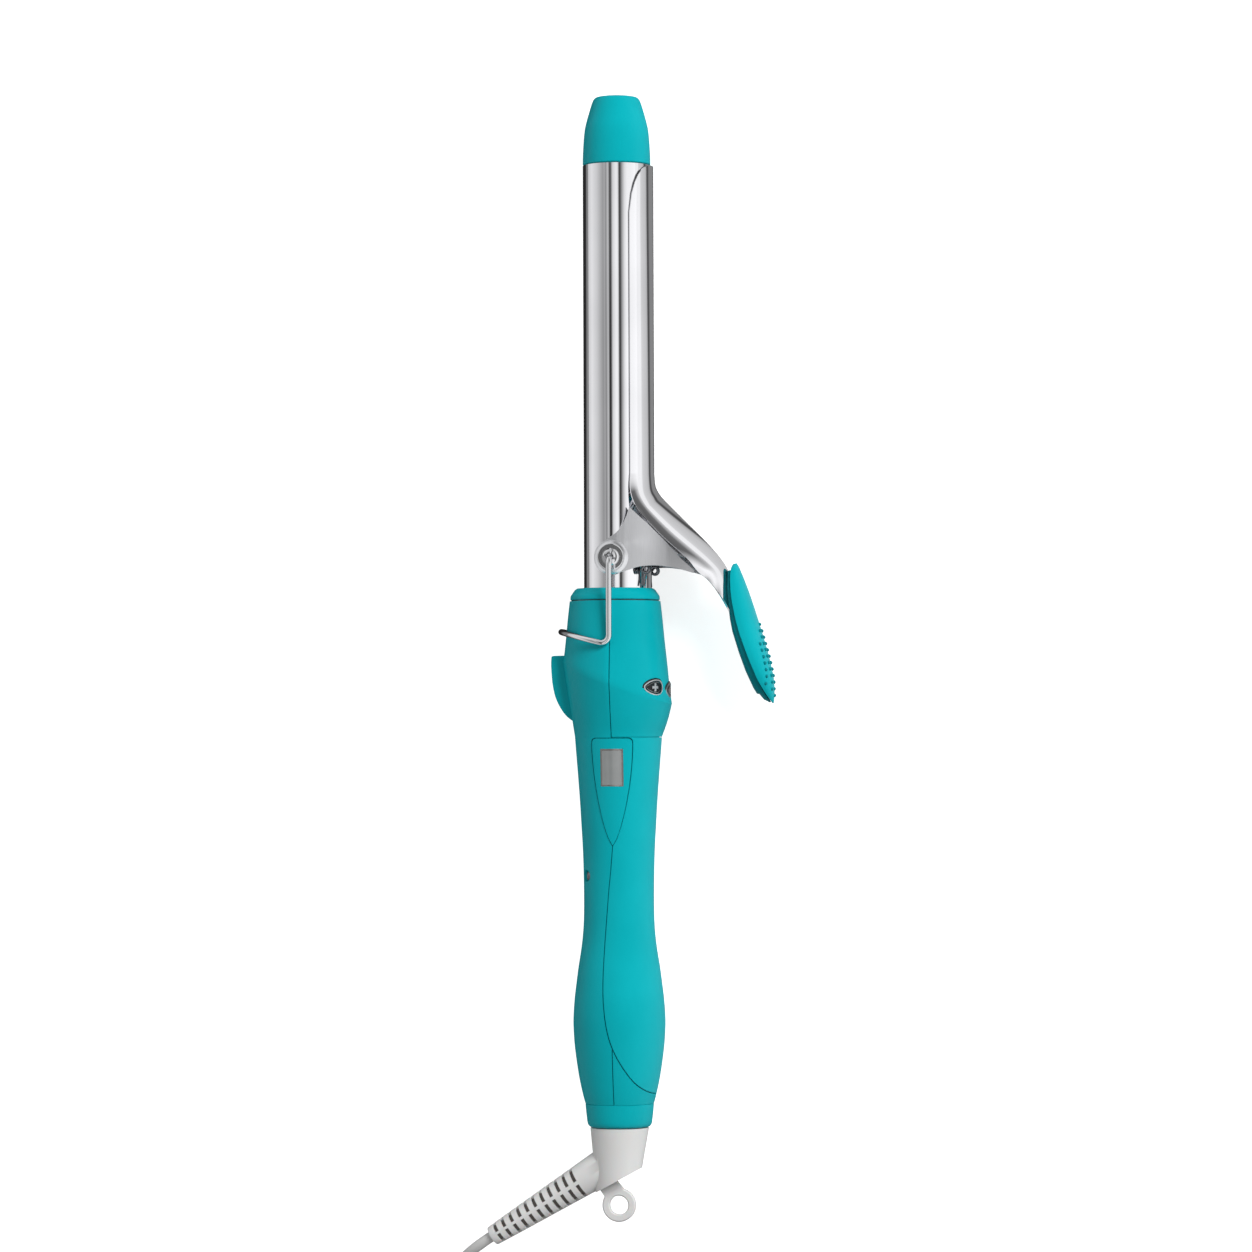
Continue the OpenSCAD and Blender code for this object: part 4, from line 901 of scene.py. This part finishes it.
def drawn_in(bm):
    """Curves an ear inwards as it goes out to the lever."""
    for x in range(2, 28, 3):
        whole = bm.verts[:] + bm.edges[:] + bm.faces[:]
        bmesh.ops.bisect_plane(bm, geom=whole, plane_co=(x, 0, 0), plane_no=(1, 0, 0))
    for v in bm.verts:
        v.co.z -= EAR_CURVE * max(0.0, v.co.x) ** 2
    return bm


def make_bracket():
    bm = bmesh.new()
    boss = [(3.3, 0.4), (6.5, 0.4), (6.3, SHEET_T), (6.05, SHEET_T + 0.25), (5.4, BOSS_TOP - 0.3),
            (5.0, BOSS_TOP - 0.05), (4.6, BOSS_TOP), (3.3, BOSS_TOP), (3.3, 0.4)]
    for side in SIDES:
        place = side_place(side, EAR_Y)
        merged(bm, moved(drawn_in(slab([(x, -z) for x, z in ear_outline()], SHEET_T)), place))
        merged(bm, spun(boss, place, 64))
    web_place = turned(20.1, 0, PIVOT_Z + 5.5, -45, "Y") @ turned(z=-6)
    merged(bm, slab(oblong(0.5, WEB_HALF, -0.7), 12, web_place))
    bracket = to_piece("clip_bracket_sheet", bm)
    settle(soften(shade(bracket, 30), 0.3, 3, 40), SATIN_STEEL, "clip", "satin_steel", "clip_bracket")


def make_pivots():
    washers, screws, crosses = bmesh.new(), bmesh.new(), bmesh.new()
    washer = [(3.0, 0), (4.6, 0), (4.75, 0.12), (4.75, 0.45), (4.6, WASHER_T), (3.0, WASHER_T), (3.0, 0)]
    screw = [(1.3, -2.5), (3.15, -2.5), (3.15, 0.5), (3.2, WASHER_T), (3.15, WASHER_T + 0.9), (2.7, WASHER_T + 1.45),
             (2.0, SCREW_TOP), (1.3, SCREW_TOP), (1.3, -2.5)]
    for side in SIDES:
        place = side_place(side, WASHER_Y)
        merged(washers, spun(washer, place, 64))
        merged(screws, spun(screw, place, 64))
        for degrees in (20, 110):
            merged(crosses, slab(oblong(2.5, 0.38), 2, place @ turned(0, 0, SCREW_TOP - 1.0, degrees)))
    washers, screws = to_piece("pivot_washer_pair", washers), to_piece("pivot_screw_pair", screws)
    settle(shade(washers, 30), PLATED_WIRE, "root", "bright_wire", "pivot_washers")
    carve(screws, to_piece("crosses", crosses))
    settle(shade(screws, 30), PLATED_WIRE, "root", "bright_wire", "pivot_screws")


SPRING_X, SPRING_Y, SPRING_Z = 12.1, 8.2, 204.6
SPRING_MID, SPRING_WIRE, SPRING_PITCH, SPRING_TURNS, TURN_STEPS = 1.35, 0.5, 1.1, 3, 24


def make_springs():
    """A leg stands on the collar beside the barrel, three turns, and a leg up inside the bracket."""
    turns = []
    for i in range(TURN_STEPS * SPRING_TURNS + 1):
        a, along = math.tau * i / TURN_STEPS, SPRING_PITCH * i / TURN_STEPS
        turns.append((SPRING_X - SPRING_MID * math.cos(a), SPRING_Y + along, SPRING_Z + SPRING_MID * math.sin(a)))
    points = [(10.9, 8.9, 198.5), (10.8, 8.4, 201), *turns, (13.6, 10.9, 208), (18.4, 10.4, 213.4)]
    for side, name, nodes in zip(SIDES, ("back", "front"), (("clip_springs",), ())):
        spring = curve_piece("clip_spring_" + name, [(x, side * y, z) for x, y, z in points], SPRING_WIRE, IRON, 3)
        settle(spring, SPRING_STEEL, "root", "spring_steel", *nodes)


WIRE_R, BEND_R, STAND_HALF, STAND_REACH, STAND_DROP, STAND_CLIMB = 1.1, 2.8, 20.6, 18.0, 31.4, math.radians(14.0)


def make_stand():
    """Half the wire runs out of the screw, bends down, drops and bends back; a climbing half round joins the halves."""
    half = [(0, 14.4, 0)]
    for k in range(9):
        a = math.radians(11.25 * k)
        half.append((0, STAND_HALF - BEND_R + BEND_R * math.sin(a), -BEND_R + BEND_R * math.cos(a)))
    foot = -STAND_DROP + BEND_R
    for k in range(11):
        a = (math.pi / 2 + STAND_CLIMB) * k / 10
        half.append((-BEND_R + BEND_R * math.cos(a), STAND_HALF, foot - BEND_R * math.sin(a)))
    c, s, cross = math.cos(STAND_CLIMB), math.sin(STAND_CLIMB), []
    for k in range(2, 39):
        a = math.radians(4.5 * k)
        reach = STAND_REACH * math.sin(a)
        cross.append((-BEND_R - reach * c - BEND_R * s, STAND_HALF * math.cos(a), foot + reach * s - BEND_R * c))
    path = half + cross + [(x, -y, z) for x, y, z in reversed(half)]
    stand = curve_piece("stand_wire_loop", path, WIRE_R, IRON @ PIVOT, 6)
    settle(stand, PLATED_WIRE, "stand", "bright_wire", "stand_wire")


make_bracket()
make_pivots()
make_springs()
make_stand()

# ---------- clip ----------
CLIP_T, CLIP_R, CLIP_HALF = 0.7, 13.56, math.radians(60)
BLADE_W = CLIP_R * math.sin(CLIP_HALF)
BLADE_D = CLIP_R * (1 - math.cos(CLIP_HALF))
BLADE_TOP = TIP_Z - 0.6
# Stations: crown's place, lean from the barrel in degrees, half width, depth of the channel
LEVER = smooth_line([
    (CLIP_R, 239.9, 0, BLADE_W, BLADE_D), (CLIP_R + 0.5, 235.3, 14, BLADE_W + 0.7, BLADE_D + 0.6),
    (CLIP_R + 2.4, 231.9, 34, BLADE_W + 1.9, BLADE_D + 1.4), (18.6, 229, 43, 14.3, 8.4), (25.6, 222, 45, 14.3, 8.6),
    (33.3, 214.3, 43, 12.6, 8.2), (38.4, 208.4, 35, 10.8, 8.6), (41.2, 203.6, 22, 9.0, 7.4), (42.6, 196.9, 10, 7.6, 4.4),
    (43.4, 190.9, 8, 6.6, 1.7), (44, 186.4, 8, 4.4, 0.4)], 5)
# The blade's round tip: places below its top, and shares of its width
BLADE_TIP = ((0, 0.3), (0.25, 0.4), (0.7, 0.53), (1.4, 0.63), (2.4, 0.72), (4.2, 0.815), (7, 0.895), (11, 0.955),
             (18, 1))


def tip_stations():
    made = []
    for t, share in BLADE_TIP:
        w = BLADE_W * share
        made.append((CLIP_R, BLADE_TOP - t, 0, w, CLIP_R - math.sqrt(CLIP_R * CLIP_R - w * w)))
    return made


def sheet_ring(station, steps=16):
    """The curved sheet's section at a station: out over the crown, back underneath."""
    x, z, lean, w, d = station
    bow = (w * w + d * d) / (2 * d)
    spread, lean = math.asin(min(1.0, w / bow)), math.radians(lean)
    out, across = Vector((math.cos(lean), 0, math.sin(lean))), Vector((0, 1, 0))
    middle = Vector((x, 0, z)) - bow * out
    turns = [spread * k / steps for k in range(-steps, steps + 1)]
    outer = [middle + bow * (math.cos(a) * out + math.sin(a) * across) for a in turns]
    return outer + [middle + (bow - CLIP_T) * (math.cos(a) * out + math.sin(a) * across) for a in reversed(turns)]


def make_clip():
    blade = to_piece("clip_blade_sheet", loft([sheet_ring(station) for station in tip_stations() + LEVER]))
    settle(soften(shade(blade, 40), 0.2, 2, 50), CHROME_CLIP, "clip", "chrome_clip", "clip_blade")


make_clip()

# ---------- thumb pad ----------
PAD_X, PAD_Z, PAD_LEAN, PAD_W = LEVER_X + 0.2, PIVOT_Z - 2.2, 14.7, 19.0
PAD_PLACE = turned(PAD_X, 0, PAD_Z, 180 - PAD_LEAN, "Y")
# Stations: place, share of the width, heights of the crown and of the rim
PAD_TOP = smooth_line([
    (0, 0.08, 0.1, -1.2), (1.5, 0.34, 0.6, -2), (5, 0.55, 1.1, -3), (10.5, 0.76, 1.7, -3.9), (16, 0.9, 2.1, -4.3),
    (24, 0.99, 2.5, -4.4), (33, 1, 2.8, -3.7), (40, 0.9, 2.7, -2.95), (45, 0.74, 2.35, -2.2), (49.7, 0.45, 1.35, -1.1),
    (52.4, 0.18, 0.5, -0.4), (53.2, 0.04, 0.1, -0.2)], 4)
PAD_UNDER = [
    (2, 0.34, -2.5, -3.9), (8, 0.58, -3.9, -5.6), (13.5, 0.72, -4.4, -6.5), (19.5, 0.82, -4.6, -7.3),
    (24, 0.87, -4.6, -7.6), (32, 0.88, -4, -7.3), (39.3, 0.78, -3.25, -6.7), (46, 0.56, -2.3, -5.6),
    (48.3, 0.45, -1.8, -4.9), (48.6, 0.43, -1.7, -4.1), (51, 0.26, -1.2, -3), (52.6, 0.08, -0.8, -1.2)]
# Steps round each half, and how full the cover's arch and the base's hollow are
PAD_ROUND, ARCH_POWER, HOLLOW_POWER = 20, 0.8, 0.6


def pad_height(station, share):
    """Height of the arch at a share of the half turn from rim to rim."""
    return station[3] + (station[2] - station[3]) * math.sin(math.pi * share) ** ARCH_POWER


def pad_ring(station, low):
    """Half an oval from rim to rim: the cover's arch, or the base's, which is hollow."""
    place, half, crown, rim = station
    w, ring = half * PAD_W / 2, []
    for k in range(PAD_ROUND + 1):
        share = k / PAD_ROUND
        hollow = crown + (rim - crown) * math.sin(math.pi * share) ** HOLLOW_POWER
        rise = hollow if low else pad_height(station, share)
        ring.append((-rise, (1 if low else -1) * w * math.cos(math.pi * share), place))
    return ring


DOT_ROWS = (1, 2, 2, 3, 3, 3, 3, 3, 3, 3, 2, 1)
DOT_FIRST, DOT_PITCH, DOT_ACROSS, DOT_R = 23.9, 2.42, 3.0, 0.66


def make_pad():
    cover = to_piece("thumb_pad_cover", moved(loft([pad_ring(s, False) for s in PAD_TOP]), PAD_PLACE))
    settle(soften(shade(cover, 50), 0.3, 2, 50), TEAL_ABS, "clip", "teal_plastic", "pad_cover")
    # The base is drawn in the darker teal: painted shade on the pad's underside
    base = to_piece("thumb_pad_base", moved(loft([pad_ring(s, True) for s in PAD_UNDER]), PAD_PLACE))
    settle(soften(shade(base, 50), 0.3, 2, 50), SHADED_TEAL, "clip", "teal_dark", "pad_base")
    # The dots are drawn in the darker teal too: painted shade in place of the shadows round them
    dots = bmesh.new()
    for row, half_count in enumerate(DOT_ROWS):
        along = DOT_FIRST + row * DOT_PITCH
        station = min(PAD_TOP, key=lambda s: abs(s[0] - along))
        for column in range(1 - half_count, half_count):
            y = column * DOT_ACROSS
            share = math.acos(max(-1.0, min(1.0, y / (station[1] * PAD_W / 2)))) / math.pi
            height = pad_height(station, share)
            bmesh.ops.create_uvsphere(dots, u_segments=8, v_segments=6, radius=DOT_R,
                                      matrix=PAD_PLACE @ Matrix.Translation((-height - 0.05, y, along)))
    settle(shade(to_piece("thumb_pad_dots", dots), 60), SHADED_TEAL, "clip", "teal_dark")


make_pad()

# ---------- the screw that shows ----------


def make_screw_head():
    x, y, z = SCREW_AT
    place = turned(x, y, z) @ SCREW_TURNS
    head = to_piece("shell_screw_head", spun([(0, 0), (1.9, 0), (1.9, 0.8), (1.5, 1.2), (0, 1.35)], place, 32))
    carve(head, *[to_piece("cross", slab(oblong(1.2, 0.25), 1, place @ turned(0, 0, 0.8, degrees)))
                  for degrees in (15, 105)])
    settle(shade(head, 30), SPRING_STEEL, "root", "spring_steel")


make_screw_head()

# ---------- floor and light ----------
FLOOR_HALF, FLOOR_DROP = 4.0, 0.0003


def grey(level):
    return (level, level, level, 1)


# The paper is white for the camera; metal sees it white from afar and with painted shade close to the iron, by
# millimetres aside
PAPER_GLOW, SHADE_REACH = 0.8, 130.0
PAINTED_SHADE = [(-130, 0.25), (-95, 0.1), (-70, 0.02), (12, 0.03), (13, 0.26), (23, 0.26), (26, 0.08), (30, 0.09), (33, 0.5),
         (40, 0.62), (80, 0.75), (100, 1.0)]


def make_floor():
    bm = bmesh.new()
    bmesh.ops.create_grid(bm, x_segments=1, y_segments=1, size=FLOOR_HALF)
    floor = to_piece("floor", bm, turned(z=-FLOOR_DROP), turn_out=False)
    material, tree, gloss, place = new_finish("white paper", Roughness=0.9, IOR=1.3)
    path = add_node(tree, "ShaderNodeLightPath").outputs
    either = {0: path["Is Camera Ray"], 1: path["Is Transmission Ray"]}
    seen = add_node(tree, "ShaderNodeMath", either, operation="MAXIMUM")
    glow = add_node(tree, "ShaderNodeMath", {0: seen, 1: PAPER_GLOW}, operation="MULTIPLY")
    set_inputs(tree, gloss, {"Base Color": linear("#F0F0F0"), "Emission Color": grey(1), "Emission Strength": glow})
    # In metal the paper shows this painted shade, by how far aside of the iron it lies, in place of its own shading
    across = add_node(tree, "ShaderNodeSeparateXYZ", {"Vector": place})
    aside = add_node(tree, "ShaderNodeMath", {0: across, 1: REST_PLACE[0] * MM}, operation="SUBTRACT")
    reach = SHADE_REACH * MM
    share = add_node(tree, "ShaderNodeMapRange", {"Value": aside, "From Min": -reach, "From Max": reach})
    shades = add_node(tree, "ShaderNodeValToRGB", {"Fac": share})
    set_stops(shades, *[(at / SHADE_REACH / 2 + 0.5, grey(level)) for at, level in PAINTED_SHADE])
    painted_shade_glow = add_node(tree, "ShaderNodeEmission", {"Color": shades, "Strength": 1.0})
    both = add_node(tree, "ShaderNodeMixShader", {0: path["Is Glossy Ray"], 1: gloss, 2: painted_shade_glow})
    set_inputs(tree, tree.nodes["Material Output"], {"Surface": both})
    floor.data.materials.append(material)


# Brightness of the studio round the iron's axis, by turn from the camera's side, in degrees: soft boxes with dark
# flags between
STUDIO = [(-180, 0.5), (-140, 0.35), (-118, 0.62), (-95, 0.86), (-72, 0.66), (-48, 0.32), (-42, 0.42), (-38, 0.25),
          (-30, 0.6), (-25, 0.02), (-20, 0.04), (-14, 0.72), (-3, 1.0), (3, 0.95), (8, 0.03), (12, 0.06), (17, 0.36),
          (27, 0.9), (36, 1.1), (76, 1.15), (86, 0.7), (98, 0.66), (110, 0.14), (124, 0.35), (137, 0.7), (180, 0.5)]
# The same for what comes from beyond the tip: a wide dark flag in front
STUDIO_FAR = [(-180, 0.5), (-60, 0.9), (-20, 0.7), (10, 0.3), (36, 0.12), (48, 0.16), (60, 0.6), (70, 1.2),
              (110, 1.2), (180, 0.5)]
STUDIO_TOP, FILL, FAR_FROM, FAR_TO = 1.2, 0.25, 0.08, 0.5


def make_world():
    """White for the camera, a plain fill for matt surfaces and the studio for shiny ones."""
    world = bpy.data.worlds.new("studio")
    bpy.context.scene.world = world
    world.use_nodes = True
    tree = world.node_tree
    tree.nodes.clear()
    way = add_node(tree, "ShaderNodeTexCoord").outputs["Generated"]
    turn = IRON.to_3x3().normalized()
    aside, ahead, along = [
        add_node(tree, "ShaderNodeVectorMath", {0: way, 1: turn @ axis}, operation="DOT_PRODUCT").outputs["Value"]
        for axis in (TO_RIGHT, TO_CAMERA, Vector((0, 0, 1)))]
    angle = add_node(tree, "ShaderNodeMath", {0: aside, 1: ahead}, operation="ARCTAN2")
    share = add_node(tree, "ShaderNodeMapRange", {"Value": angle, "From Min": -math.pi, "From Max": math.pi})
    near, far = [add_node(tree, "ShaderNodeValToRGB", {"Fac": share}) for _ in range(2)]
    for ramp, stops in ((near, STUDIO), (far, STUDIO_FAR)):
        set_stops(ramp, *[((degrees + 180) / 360, grey(level / STUDIO_TOP)) for degrees, level in stops])
    beyond = add_node(tree, "ShaderNodeMapRange", {"Value": along, "From Min": FAR_FROM, "From Max": FAR_TO})
    shades = add_node(tree, "ShaderNodeMixRGB", {"Fac": beyond, "Color1": near, "Color2": far})
    path = add_node(tree, "ShaderNodeLightPath").outputs
    boxes = add_node(tree, "ShaderNodeBackground", {"Color": shades, "Strength": STUDIO_TOP})
    fill = add_node(tree, "ShaderNodeBackground", {"Color": grey(1), "Strength": FILL})
    white = add_node(tree, "ShaderNodeBackground", {"Color": grey(1), "Strength": 1.0})
    lit = add_node(tree, "ShaderNodeMixShader", {0: path["Is Glossy Ray"], 1: fill, 2: boxes})
    shown = add_node(tree, "ShaderNodeMixShader", {0: path["Is Camera Ray"], 1: lit, 2: white})
    add_node(tree, "ShaderNodeOutputWorld", {"Surface": shown})


def add_soft_box(name, at, size, power):
    """A lamp that faces the part and that metal doesn't mirror."""
    light = bpy.data.lights.new(name, "AREA")
    light.shape, (light.size, light.size_y), light.energy = "RECTANGLE", size, power
    lamp = bpy.data.objects.new(name, light)
    bpy.context.scene.collection.objects.link(lamp)
    lamp.location = at
    lamp.rotation_mode = "QUATERNION"
    lamp.rotation_quaternion = (-Vector(at)).to_track_quat("-Z", "Y")
    lamp.visible_glossy = False


make_floor()
make_world()
# Places and sizes in metres, powers in watts
add_soft_box("key", (2.1, 1.5, 1.3), (1.2, 1.2), 74)
add_soft_box("left fill", (-1.1, 0.2, 1.5), (0.8, 1.2), 6)
bpy.context.scene.view_settings.view_transform = "Standard"
